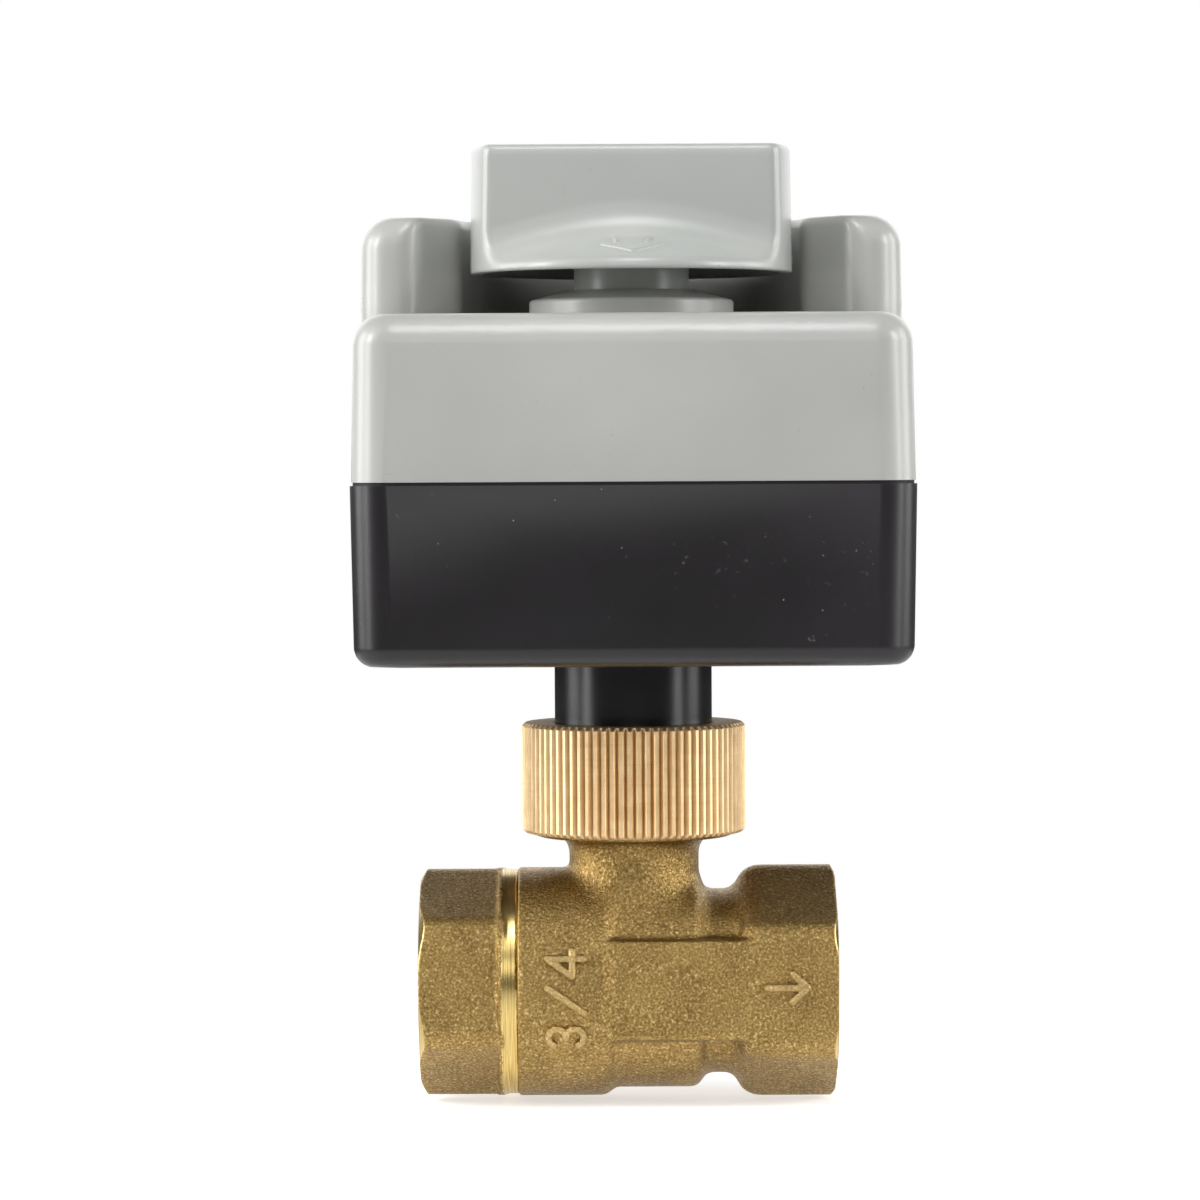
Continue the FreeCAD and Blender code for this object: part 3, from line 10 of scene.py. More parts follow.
import bpy
import numpy as np
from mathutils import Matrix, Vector

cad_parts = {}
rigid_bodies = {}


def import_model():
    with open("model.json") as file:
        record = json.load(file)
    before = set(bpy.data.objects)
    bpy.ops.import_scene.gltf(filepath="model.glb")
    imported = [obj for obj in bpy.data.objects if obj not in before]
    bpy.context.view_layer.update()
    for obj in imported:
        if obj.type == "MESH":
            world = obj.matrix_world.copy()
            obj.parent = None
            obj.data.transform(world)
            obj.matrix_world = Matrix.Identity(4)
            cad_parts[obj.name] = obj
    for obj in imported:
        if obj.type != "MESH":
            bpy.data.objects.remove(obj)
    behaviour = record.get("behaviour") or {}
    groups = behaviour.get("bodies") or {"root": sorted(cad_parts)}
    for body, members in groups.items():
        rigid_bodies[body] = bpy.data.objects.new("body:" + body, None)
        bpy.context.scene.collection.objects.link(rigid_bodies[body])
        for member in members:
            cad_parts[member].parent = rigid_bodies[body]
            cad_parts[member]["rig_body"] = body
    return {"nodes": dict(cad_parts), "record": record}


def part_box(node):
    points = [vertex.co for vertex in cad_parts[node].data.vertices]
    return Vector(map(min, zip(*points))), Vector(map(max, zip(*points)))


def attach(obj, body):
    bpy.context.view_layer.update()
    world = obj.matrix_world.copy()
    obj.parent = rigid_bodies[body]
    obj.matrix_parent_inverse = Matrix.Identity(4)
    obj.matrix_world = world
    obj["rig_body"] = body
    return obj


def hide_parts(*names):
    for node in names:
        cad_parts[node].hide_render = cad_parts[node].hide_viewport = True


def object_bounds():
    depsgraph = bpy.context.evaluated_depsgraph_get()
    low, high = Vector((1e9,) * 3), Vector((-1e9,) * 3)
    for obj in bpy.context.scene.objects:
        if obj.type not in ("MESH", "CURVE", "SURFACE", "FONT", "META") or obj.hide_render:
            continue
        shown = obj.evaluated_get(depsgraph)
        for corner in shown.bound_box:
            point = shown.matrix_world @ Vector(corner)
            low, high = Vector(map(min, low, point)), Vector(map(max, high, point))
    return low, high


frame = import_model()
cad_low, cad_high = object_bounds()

MM = 0.001


def node_limits(node):
    """Lowest and highest corner of a node, in millimetres from the model's origin."""
    low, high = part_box(node)
    return np.array(low) / MM, np.array(high) / MM


def middle_of(node):
    low, high = node_limits(node)
    return (low + high) / 2


CENTRE = middle_of("ball")


def limits(node):
    """Lowest and highest corner of a node, in millimetres from the ball's centre."""
    low, high = node_limits(node)
    return low - CENTRE, high - CENTRE


# Casting
body_low, body_high = limits("valve_body")
tail_low, tail_high = limits("tailpiece")
nut_low, nut_high = limits("union_nut")
BODY_START_X = body_low[0]
BODY_END_X = body_high[0]
BODY_TOP_Z = body_high[2]
BODY_R = -body_low[1]
STEP_X = -4.2
STEP_LAP = 1.0
WAIST_R = 15.9
WAIST_START_X = -10.0
WAIST_END_X = 9.5
WAIST_LAP = 0.4
NECK_R = 13.8
HEX_START_X = 15.0
HEX_LAP = 3.0
HEX_APOTHEM = 15.6
PAD_LOW_Z = -7.2
PAD_HIGH_Z = 7.6
PAD_LAP = 0.3
BONNET_R = 9.7
BONNET_LAP = 1.0
FLARE_Z = 22.0
FLARE_R = 14.9
FLOW_R = 7.5
CHAMBER_R = 12.4
CHAMBER_REACH = 11.5
SOCKET_R = 15.05
SOCKET_FLOOR = 10.7
STEM_HOLE_R = 4.55
COLLAR_HOLE_R = 6.15
COLLAR_HOLE_TOP = 15.5

# Rounds on the casting's forms
BARREL_ROUND = 2.2
START_ROUND = 0.5
WAIST_ROUND = 1.8
HEX_CORNER_ROUND = 2.2
HEX_SHOULDER_ROUND = 4.2
HEX_RIM_ROUND = 0.1
PAD_ROUND = 0.9
FLARE_ROUND = 0.7
BORE_ROUND = 0.15

# Fillets between the casting's forms
BARREL_FILLET = 1.0
NECK_FILLET = 2.2
HEX_FILLET = 1.8
PAD_FILLET = 0.8
FOOT_FILLET_ALONG = 1.2
FOOT_FILLET_MORE_ACROSS = 3.2
FLARE_FILLET = 3.0
FLANGE_FILLET = 0.7

# Hexagon ends and their ports
OUTLET_FACE_R = 16.3
INLET_FACE_R = 15.35
CHAMFER_DEG = 30.0
TAIL_APOTHEM = 15.2
TAIL_TURN_DEG = 5.0
TAIL_END_X = tail_low[0]
RING_START_X = -20.2
RING_GROOVE_X = -19.7
GROOVE_LAP = 0.35
RING_R = 16.8
NOSE_R = 15.0
NOSE_END_X = tail_high[0]
PORT_R = 13.22
PORT_DEPTH = 14.0
THREAD_MINOR_R = 12.06
THREAD_PITCH = 1.814
THREAD_COLUMNS = 144
THREAD_ROWS = 110
THREAD_START = 0.05
THREAD_END_GAP = 0.4
THREAD_RUNOUT_START = 3.0
THREAD_RUNOUT = 2.6
THREAD_CREST_GAP = 0.03
ENTRY_LIFT = 0.1
ENTRY_SLOPE = 0.9
LINER_BACK = 0.12

# Cast relief on the front, drawn in view from the front
RELIEF_WIDTH = 1.1
RELIEF_HEIGHT = 0.8
RELIEF_ROUND = 0.6
RELIEF_ROOT = 0.3
RELIEF_ROOT_ROUND = 0.05
FIGURE_TALL = 5.3
FIGURE_WIDE = 3.7
FIGURE_STEP = 5.4
FIGURE_BASE_X = -7.6
FIGURE_LOW_Z = -8.2
LOBE_SHIFT = 0.2
FOUR_STEM = 0.7
FOUR_BAR = 0.32
FLOW_TIP = (25.4, 0.6)
FLOW_STARTS = ((19.4, 0.6), (23.2, 2.6), (23.2, -1.4))
RELIEF_BOXES = {
    "size_relief": ((-14, -18.2, -10), (-6, -13, 10)),
    "flow_relief": ((18, -16.8, -3), (27, -15, 4)),
}

# Knurled nut
NUT_R = nut_high[0]
NUT_TEETH = 80
NUT_TOOTH_COLUMNS = 12
NUT_TOOTH_DEPTH = 0.55
NUT_TOOTH_START = 0.02
NUT_CREST_SHARE = 0.34
NUT_GROOVE_SHARE = 0.66
NUT_CHAMFER = 0.5
NUT_BORE_CHAMFER = 0.5
NUT_BORE_R = 11.9
NUT_THREAD_R = 14.95
NUT_LIP_Z = 34.25

# Knob
knob_high = limits("manual_knob")[1]
KNOB_R = 24.1
KNOB_TAPER = 0.3
KNOB_TOP_Z = knob_high[2]
KNOB_LOW_Z = 106.1
KNOB_RIM_H = 1.5
LEDGE_SLOPE = 0.33
GRIP_HALF = 10.4
GRIP_ROUND = 1.5
GRIP_FILLET = 4.6
DRUM_ROUND = 1.1
KNOB_RIM_ROUND = 0.25
KNOB_WALL = 1.8
KNOB_INNER_ROUND = 0.6
KNOB_STEM_R = 8.6
KNOB_STEM_LAP = 6.0
KNOB_STEM_HIDDEN = 1.0
ARROW_STROKES = [
    ((-4.3, -17.0), (0.3, -21.0)), ((0.3, -21.0), (4.6, -16.6)),
    ((-2.5, -14.4), (-2.2, -16.4)), ((2.6, -13.8), (2.2, -16.0)),
]
RIDGE_HALF_WIDTH = 0.4
RIDGE_FLATNESS = 0.9
RIDGE_ROWS = 17
RIDGE_COLUMNS = 12

# Neck of the black base
NECK_R_OUT = 11.75
NECK_SKIN_IN = 0.25
NECK_SKIN_OUT = 0.04
NECK_SKIN_LOW = 35.0
NECK_COLUMNS = 200
HOUSING_LOW_Z = 48.5

# Collar under the knob
collar_low, collar_high = limits("knob_collar")
COLLAR_GAP = 0.05
SPIGOT_R = 11.0
COLLAR_EDGE_H = 2.5
COLLAR_TOP_WIDTH = 1.0
COLLAR_COLUMNS = 160

# Raised part of the cover, given at its roof
cover_high = limits("cover")[1]
BLOCK_HALF = 40.07
BLOCK_BACK_Y = 47.82
BLOCK_CORNER_R = 5.8
TIP_R = 4.9
TIP_Y = -2.45
HORN_R = 7.2
RECESS_R = 25.6
RECESS_FLARE_DEG = 50.0
ARC_POINT_DEG = 3.0
BLOCK_TALL = 14.9
BLOCK_DRAFT_DEG = 1.0
OUTER_EDGE_R = 4.6
RECESS_EDGE_R = 1.2
EDGE_CHANGE_R = 31.0
EDGE_CHANGE_WIDTH = 6.0
SKIN_PROUD = 0.05
SKIN_DEPTH = 1.5
SKIN_ROUND = 0.1
SKIN_FOOT = 1.0
TUCK = 0.15
TUCK_HEIGHT = 1.5
TUCK_TALL = 2.5
PLAN_STEP = 0.25
PLAN_MARGIN = 3.0
PLAN_FRONT_Y = -12.0

# Grid steps and margins of the meshes made from distances
BODY_STEP = 0.36
RELIEF_STEP = 0.15
TAIL_STEP = 0.27
KNOB_STEP = 0.36
SKIN_STEP = 0.48
CAST_MARGIN = 0.8
KNOB_MARGIN = 0.5
SKIN_MARGIN = 0.8
SKIN_END_MARGIN = 0.6

# Studio, in metres and degrees
LAMP_AIM = Vector((0.032, 0.0, 0.055))
LAMP_POWER = 40.0
FLOOR_GAP = 0.0002
FLOOR_REACH = 6.0


def srgb(text):
    """A hex colour as linear red, green, blue and alpha."""
    parts = [int(text[i:i + 2], 16) / 255 for i in (1, 3, 5)]
    return [c / 12.92 if c <= 0.04045 else ((c + 0.055) / 1.055) ** 2.4 for c in parts] + [1.0]


def per_mm(size):
    """Texture scale, per metre, that gives features of this size in millimetres."""
    return 1 / (size * MM)


def add(tree, kind, inputs=(), stops=(), **settings):
    """A node with its inputs, a colour ramp's (place, hex colour) stops, and its settings.

    Inputs are named or numbered, or come in the node's own order. One that is a node is linked from the first
    of its outputs in use, a socket is linked, a hex colour turns to linear, and any other value is set."""
    made = tree.nodes.new(kind)
    for name, value in settings.items():
        setattr(made, name, value)
    for name, value in (inputs if isinstance(inputs, dict) else dict(enumerate(inputs))).items():
        if isinstance(value, bpy.types.Node):
            value = next(socket for socket in value.outputs if socket.enabled)
        if isinstance(value, bpy.types.NodeSocket):
            tree.links.new(value, made.inputs[name])
        else:
            made.inputs[name].default_value = srgb(value) if isinstance(value, str) else value
    if stops:
        elements = made.color_ramp.elements
        for element, (place, colour) in zip(elements, (stops[0], stops[-1])):
            element.position = place
            element.color = srgb(colour)
        for place, colour in stops[1:-1]:
            elements.new(place).color = srgb(colour)
    return made


# Settings of a Map Range node that eases from its first value to its last and is held outside
EASED = {"interpolation_type": "SMOOTHSTEP", "clamp": True}


def material(name):
    """An empty node material and its tree."""
    made = bpy.data.materials.new(name)
    made.use_nodes = True
    made.node_tree.nodes.clear()
    return made, made.node_tree


def length_across(tree, first, second):
    """The length of two coordinates, that is the radius about the axis across them."""
    first = add(tree, "ShaderNodeMath", (first, first), operation="MULTIPLY")
    second = add(tree, "ShaderNodeMath", (second, second), operation="MULTIPLY")
    squared = add(tree, "ShaderNodeMath", (first, second), operation="ADD")
    return add(tree, "ShaderNodeMath", (squared,), operation="SQRT")


def moulded_plastic(name, base, lighter, darker, dust, roughness, speck_share, bump):
    """Injection-moulded ABS: an even satin skin with a fine spark-eroded grain, dust and scuffs."""
    made, tree = material(name)
    place = add(tree, "ShaderNodeTexCoord").outputs["Object"]
    cloud = add(tree, "ShaderNodeTexNoise", {"Vector": place, "Scale": per_mm(38), "Detail": 3.0})
    colour = add(tree, "ShaderNodeValToRGB", (cloud,), [(0.3, darker), (0.5, base), (0.7, lighter)])
    # dust specks about 0.2 mm wide, one to a cell of 2.6 mm, in the cells that the random colour picks
    cells = add(tree, "ShaderNodeTexVoronoi", {"Vector": place, "Scale": per_mm(2.6)})
    near = add(tree, "ShaderNodeMapRange", (cells.outputs["Distance"], 0.03, 0.055, 1.0, 0.0), **EASED)
    picked = add(tree, "ShaderNodeSeparateColor", (cells.outputs["Color"],)).outputs["Red"]
    chosen = add(tree, "ShaderNodeMapRange", (picked, 1 - speck_share, 1 - speck_share + 0.02), **EASED)
    speck = add(tree, "ShaderNodeMath", (near, chosen), operation="MULTIPLY")
    share = add(tree, "ShaderNodeMath", (speck, 0.6), operation="MULTIPLY")
    colour = add(tree, "ShaderNodeMix", {0: share, 6: colour, 7: dust}, data_type="RGBA")
    # hairline scuffs: noise stretched along a slanting direction, in patches
    slanting = {"Vector": place, "Rotation": (0.5, 0.6, 0.3), "Scale": (1, 0.06, 1)}
    stretched = add(tree, "ShaderNodeMapping", slanting)
    streaks = add(tree, "ShaderNodeTexNoise", {"Vector": stretched, "Scale": per_mm(0.9), "Detail": 2.0})
    patches = add(tree, "ShaderNodeTexNoise", {"Vector": place, "Scale": per_mm(9.0), "Detail": 2.0})
    streaks = add(tree, "ShaderNodeMapRange", (streaks, 0.66, 0.74), **EASED)
    patches = add(tree, "ShaderNodeMapRange", (patches, 0.55, 0.7), **EASED)
    scuff = add(tree, "ShaderNodeMath", (streaks, patches), operation="MULTIPLY")
    share = add(tree, "ShaderNodeMath", (scuff, 0.22), operation="MULTIPLY")
    colour = add(tree, "ShaderNodeMix", {0: share, 6: colour, 7: dust}, data_type="RGBA")
    grain = add(tree, "ShaderNodeTexNoise", {"Vector": place, "Scale": per_mm(0.22), "Detail": 2.0})
    waves = add(tree, "ShaderNodeTexNoise", {"Vector": place, "Scale": per_mm(7.0), "Detail": 1.0})
    relief = add(tree, "ShaderNodeBump", {"Height": waves, "Strength": 0.05, "Distance": 0.4 * MM})
    relief = add(tree, "ShaderNodeBump", {
        "Height": grain, "Strength": bump, "Distance": 0.03 * MM, "Normal": relief,
    })
    # dust is rougher than the skin that it lies on
    rough = add(tree, "ShaderNodeMapRange", (cloud, 0.2, 0.8, roughness - 0.02, roughness + 0.03), **EASED)
    rougher = add(tree, "ShaderNodeMath", (speck, 0.3), operation="MULTIPLY")
    rough = add(tree, "ShaderNodeMath", (rough, rougher), operation="ADD")
    skin = add(tree, "ShaderNodeBsdfPrincipled", {
        "Base Color": colour, "Roughness": rough, "IOR": 1.53, "Normal": relief,
    })
    add(tree, "ShaderNodeOutputMaterial", {"Surface": skin})
    return made


def cast_brass(name, painted_highlight):
    """Sand-cast brass, rough and dull gold, made lighter by a share as a painted highlight.

    Its machined faces are bright, with fine tool lines."""
    made, tree = material(name)
    place = add(tree, "ShaderNodeTexCoord").outputs["Object"]
    # the grain that the moulding sand leaves, about 0.4 mm, with coarser grit in it
    sand = add(tree, "ShaderNodeTexNoise", {
        "Vector": place, "Scale": per_mm(0.38), "Detail": 3.0, "Roughness": 0.65,
    })
    grit = add(tree, "ShaderNodeTexVoronoi", {"Vector": place, "Scale": per_mm(0.55)})
    stain = add(tree, "ShaderNodeTexNoise", {"Vector": place, "Scale": per_mm(6.5), "Detail": 4.0})
    grains = [(0.3, "#564224"), (0.46, "#8B7140"), (0.58, "#AE925A"), (0.7, "#F4DA9E")]
    colour = add(tree, "ShaderNodeValToRGB", (sand,), grains)
    tarnish = add(tree, "ShaderNodeValToRGB", (stain,), [(0.35, "#7E673E"), (0.65, "#B2945C")])
    colour = add(tree, "ShaderNodeMix", {0: 0.3, 6: colour, 7: tarnish}, data_type="RGBA")
    # painted highlight: the share given mixes the whole colour towards pale gold
    colour = add(tree, "ShaderNodeMix", {0: painted_highlight, 6: colour, 7: "#FFE2A6"}, data_type="RGBA")
    relief = add(tree, "ShaderNodeBump", {"Height": sand, "Strength": 1.0, "Distance": 0.22 * MM})
    relief = add(tree, "ShaderNodeBump", {
        "Height": grit, "Strength": 0.4, "Distance": 0.1 * MM, "Normal": relief,
    })
    rough = add(tree, "ShaderNodeMapRange", (sand, 0.35, 0.65, 0.44, 0.28), **EASED)
    cast = add(tree, "ShaderNodeBsdfPrincipled", {
        "Base Color": colour, "Metallic": 1.0, "Roughness": rough, "Normal": relief,
    })
    # tool lines about 0.16 mm apart run round the pipe's axis
    spread = add(tree, "ShaderNodeMapping", {"Vector": place, "Scale": (1, 0.02, 0.02)})
    lines = add(tree, "ShaderNodeTexNoise", {"Vector": spread, "Scale": per_mm(0.16), "Detail": 2.0})
    cuts = [(0.3, "#AC8F4E"), (0.5, "#CCB06F"), (0.7, "#E0C987")]
    machined_colour = add(tree, "ShaderNodeValToRGB", (lines,), cuts)
    tooling = add(tree, "ShaderNodeBump", {"Height": lines, "Strength": 0.25, "Distance": 0.03 * MM})
    machined = add(tree, "ShaderNodeBsdfPrincipled", {
        "Base Color": machined_colour, "Metallic": 1.0, "Roughness": 0.27, "Normal": tooling,
    })
    both = add(tree, "ShaderNodeMixShader", (machined_share(tree, place), cast, machined))
    add(tree, "ShaderNodeOutputMaterial", {"Surface": both})
    return made


def machined_share(tree, place):
    """1 on the turned ring, the end faces, their chamfers and inside the ports; 0 on the cast skin."""
    centred = add(tree, "ShaderNodeVectorMath", (place, tuple(-CENTRE * MM)), operation="ADD")
    scaled = add(tree, "ShaderNodeVectorMath", {0: centred, "Scale": 1 / MM}, operation="SCALE")
    parts = add(tree, "ShaderNodeSeparateXYZ", (scaled,)).outputs
    along = parts["X"]
    radius = length_across(tree, parts["Y"], parts["Z"])
    slope = 1 / math.tan(math.radians(CHAMFER_DEG))
    shares = []
    # a point lies on an end's chamfer where its radius is the cone's radius at that place
    for end, side, face_r in ((BODY_END_X, -1, OUTLET_FACE_R), (TAIL_END_X, 1, INLET_FACE_R)):
        beyond = add(tree, "ShaderNodeMath", (along, end), operation="SUBTRACT")
        inward = add(tree, "ShaderNodeMath", (beyond, side), operation="MULTIPLY")
        wider = add(tree, "ShaderNodeMath", (inward, slope), operation="MULTIPLY")
        cone = add(tree, "ShaderNodeMath", (wider, face_r), operation="ADD")
        outside = add(tree, "ShaderNodeMath", (radius, cone), operation="SUBTRACT")
        shares.append(add(tree, "ShaderNodeMapRange", (outside, -0.16, -0.04), **EASED))
        shares.append(add(tree, "ShaderNodeMapRange", (inward, 0.02, 0.08, 1.0, 0.0), **EASED))
    # the ring is bright where the turning tool reached its radius
    ragged = add(tree, "ShaderNodeTexNoise", {"Vector": place, "Scale": per_mm(0.7)})
    ragged = add(tree, "ShaderNodeMapRange", (ragged, 0.35, 0.65, -0.12, 0.12), **EASED)
    edge = add(tree, "ShaderNodeMath", (along, ragged), operation="ADD")
    after = add(tree, "ShaderNodeMapRange", (edge, RING_GROOVE_X - 0.1, RING_GROOVE_X + 0.02), **EASED)
    before = add(tree, "ShaderNodeMapRange",
                 (along, BODY_START_X + 0.02, BODY_START_X + 0.3, 1.0, 0.0), **EASED)
    off_ring = add(tree, "ShaderNodeMath", (radius, RING_R), operation="SUBTRACT")
    off_ring = add(tree, "ShaderNodeMath", (off_ring,), operation="ABSOLUTE")
    reached = add(tree, "ShaderNodeMapRange", (off_ring, 0.1, 0.25, 1.0, 0.0), **EASED)
    between = add(tree, "ShaderNodeMath", (after, before), operation="MULTIPLY")
    shares.append(add(tree, "ShaderNodeMath", (between, reached), operation="MULTIPLY"))
    shares.append(add(tree, "ShaderNodeMapRange", (radius, PORT_R + 0.2, PORT_R + 0.5, 1.0, 0.0), **EASED))
    total = shares[0]
    for share in shares[1:]:
        total = add(tree, "ShaderNodeMath", (total, share), operation="MAXIMUM")
    return total


def turned_brass(name, knurl_r=None):
    """Brass bar, turned: bright, pinkish gold, with tool lines round the stem's axis.

    Where a knurl's radius is given, its grooves are painted darker, as painted shade."""
    made, tree = material(name)
    place = add(tree, "ShaderNodeTexCoord").outputs["Object"]
    squashed = add(tree, "ShaderNodeMapping", {"Vector": place, "Scale": (0.03, 0.03, 1)})
    lines = add(tree, "ShaderNodeTexNoise", {"Vector": squashed, "Scale": per_mm(0.3), "Detail": 3.0})
    cloud = add(tree, "ShaderNodeTexNoise", {"Vector": place, "Scale": per_mm(2.2), "Detail": 4.0})
    golds = [(0.3, "#F6D3A0"), (0.5, "#FBDAA9"), (0.7, "#FFE2B4")]
    colour = add(tree, "ShaderNodeValToRGB", (cloud,), golds)
    share = add(tree, "ShaderNodeMapRange", (lines, 0.5, 0.72, 0.0, 0.12), **EASED)
    colour = add(tree, "ShaderNodeMix", {0: share, 6: colour, 7: "#C79C66"}, data_type="RGBA")
    if knurl_r:
        centred = add(tree, "ShaderNodeVectorMath", (place, tuple(-CENTRE * MM)), operation="ADD")
        parts = add(tree, "ShaderNodeSeparateXYZ", (centred,)).outputs
        radius = length_across(tree, parts["X"], parts["Y"])
        root, crest = (knurl_r - NUT_TOOTH_DEPTH) * MM, (knurl_r - 0.06) * MM
        # painted shade: the colour darkens from the knurl's crest down to the groove's root
        share = add(tree, "ShaderNodeMapRange", (radius, root, crest, 0.5, 0.0), **EASED)
        colour = add(tree, "ShaderNodeMix", {0: share, 6: colour, 7: "#8A6A42"}, data_type="RGBA")
    relief = add(tree, "ShaderNodeBump", {"Height": lines, "Strength": 0.3, "Distance": 0.03 * MM})
    rough = add(tree, "ShaderNodeMapRange", (cloud, 0.3, 0.7, 0.45, 0.5), **EASED)
    brass = add(tree, "ShaderNodeBsdfPrincipled", {
        "Base Color": colour, "Metallic": 1.0, "Roughness": rough, "Normal": relief,
    })
    add(tree, "ShaderNodeOutputMaterial", {"Surface": brass})
    return made


def plain_metal(name, light, dark, roughness, line_size):
    """Plated or polished metal with a faint cloud in its colour and fine brushing up and down."""
    made, tree = material(name)
    place = add(tree, "ShaderNodeTexCoord").outputs["Object"]
    cloud = add(tree, "ShaderNodeTexNoise", {"Vector": place, "Scale": per_mm(3.0), "Detail": 4.0})
    brushed = add(tree, "ShaderNodeMapping", {"Vector": place, "Scale": (0.05, 0.05, 1)})
    lines = add(tree, "ShaderNodeTexNoise", {"Vector": brushed, "Scale": per_mm(line_size)})
    relief = add(tree, "ShaderNodeBump", {"Height": lines, "Strength": 0.2, "Distance": 0.02 * MM})
    colour = add(tree, "ShaderNodeValToRGB", (cloud,), [(0.3, dark), (0.7, light)])
    rough = add(tree, "ShaderNodeMapRange", (cloud, 0.3, 0.7, roughness, roughness + 0.1), **EASED)
    metal = add(tree, "ShaderNodeBsdfPrincipled", {
        "Base Color": colour, "Metallic": 1.0, "Roughness": rough, "Normal": relief,
    })
    add(tree, "ShaderNodeOutputMaterial", {"Surface": metal})
    return made


def soft_plastic(name, light, dark, roughness, grain, ior=1.5):
    """Unfilled plastic or rubber: an even colour with a faint cloud and a fine skin."""
    made, tree = material(name)
    place = add(tree, "ShaderNodeTexCoord").outputs["Object"]
    cloud = add(tree, "ShaderNodeTexNoise", {"Vector": place, "Scale": per_mm(4.0), "Detail": 3.0})
    skin = add(tree, "ShaderNodeTexNoise", {"Vector": place, "Scale": per_mm(grain), "Detail": 2.0})
    relief = add(tree, "ShaderNodeBump", {"Height": skin, "Strength": 0.2, "Distance": 0.03 * MM})
    colour = add(tree, "ShaderNodeValToRGB", (cloud,), [(0.3, dark), (0.7, light)])
    rough = add(tree, "ShaderNodeMapRange", (cloud, 0.3, 0.7, roughness, roughness + 0.08), **EASED)
    plastic = add(tree, "ShaderNodeBsdfPrincipled", {
        "Base Color": colour, "IOR": ior, "Roughness": rough, "Normal": relief,
    })
    add(tree, "ShaderNodeOutputMaterial", {"Surface": plastic})
    return made


def circuit_board_green():
    """Glass-epoxy board under solder mask, with paler copper tracks that show through."""
    made, tree = material("solder_mask")
    place = add(tree, "ShaderNodeTexCoord").outputs["Object"]
    tracks = add(tree, "ShaderNodeTexBrick", {
        "Vector": place, "Color1": "#1F6B43", "Color2": "#1B5F3C", "Mortar": "#2F8A57",
        "Scale": per_mm(8.0), "Mortar Size": 0.03, "Brick Width": 0.6, "Row Height": 0.3,
    })
    board = add(tree, "ShaderNodeBsdfPrincipled", {"Base Color": tracks, "Roughness": 0.3, "IOR": 1.55})
    add(tree, "ShaderNodeOutputMaterial", {"Surface": board})
    return made


def make_mesh(name, points, faces, finish):
    """A smooth-shaded mesh object from points about the ball's centre and faces of equal length."""
    mesh = bpy.data.meshes.new(name)
    points = (np.asarray(points, float) + CENTRE) * MM
    faces = np.asarray(faces, np.int32)
    count, sides = faces.shape
    mesh.vertices.add(len(points))
    mesh.vertices.foreach_set("co", points.astype(np.float32).ravel())
    mesh.loops.add(count * sides)
    mesh.loops.foreach_set("vertex_index", faces.ravel())
    mesh.polygons.add(count)
    mesh.polygons.foreach_set("loop_start", np.arange(0, count * sides, sides, dtype=np.int32))
    mesh.update(calc_edges=True)
    mesh.validate()
    mesh.shade_smooth()
    mesh.materials.append(finish)
    made = bpy.data.objects.new(name, mesh)
    bpy.context.scene.collection.objects.link(made)
    return made


def sharpen(piece, degrees=35):
    """Keeps edges sharper than this angle crisp and lets large faces set the shading of the small ones."""
    piece.data.set_sharp_from_angle(angle=math.radians(degrees))
    weighted = piece.modifiers.new("weighted", "WEIGHTED_NORMAL")
    weighted.keep_sharp = True
    return piece


def wrapped_quads(rows, columns):
    """Quads of a grid of rows by columns that closes on itself both ways, facing along rows cross columns."""
    row, column = np.meshgrid(np.arange(rows), np.arange(columns), indexing="ij")
    next_row, next_column = (row + 1) % rows, (column + 1) % columns
    corners = [row * columns + column, next_row * columns + column,
               next_row * columns + next_column, row * columns + next_column]
    return np.stack([c.ravel() for c in corners], -1)


def softened(profile, steps=4):
    """A closed outline of (radius, place, rounding) corners with each corner rounded.

    A corner is replaced by a quadratic curve from one tangent point to the other, each as far from the corner
    as its rounding says; a rounding of 0 keeps the corner."""
    corners = np.array([p[:2] for p in profile], float)
    points = []
    for i, (_, _, rounding) in enumerate(profile):
        here, before, after = corners[i], corners[i - 1], corners[(i + 1) % len(corners)]
        if not rounding:
            points.append(here)
            continue
        start = here + (before - here) / np.linalg.norm(before - here) * rounding
        end = here + (after - here) / np.linalg.norm(after - here) * rounding
        for t in np.linspace(0, 1, steps + 1):
            points.append(start * (1 - t) ** 2 + here * 2 * t * (1 - t) + end * t ** 2)
    return np.array(points)


def turned(outline, columns, ripple=None):
    """A closed outline of (radius, place) carried round the stem's axis.

    The point at outline place s and bearing a lies radius(s) + ripple(a, s) out from the axis and place(s) up
    it. Rows run round the outline and columns round the axis."""
    bearing = np.linspace(0, 2 * np.pi, columns, endpoint=False)
    radius = np.repeat(outline[:, :1], columns, 1)
    place = np.repeat(outline[:, 1:2], columns, 1)
    if ripple:
        radius = radius + ripple(bearing[None, :], radius)
    points = np.stack((radius * np.cos(bearing), radius * np.sin(bearing), place), -1)
    faces = wrapped_quads(len(outline), columns)
    if signed_area(outline) > 0:
        faces = faces[:, ::-1]
    return points.reshape(-1, 3), faces


def signed_area(outline):
    """Area of a closed outline, positive when it runs from the radius towards the place axis."""
    x, y = outline[:, 0], outline[:, 1]
    return float(np.sum(x * np.roll(y, -1) - np.roll(x, -1) * y) / 2)


def smooth_min(a, b, blend):
    """The lower of two distances, rounded where they differ by less than blend."""
    share = np.clip(0.5 + 0.5 * (b - a) / blend, 0, 1)
    return b + (a - b) * share - blend * share * (1 - share)


def smooth_max(a, b, blend):
    return -smooth_min(-a, -b, blend)


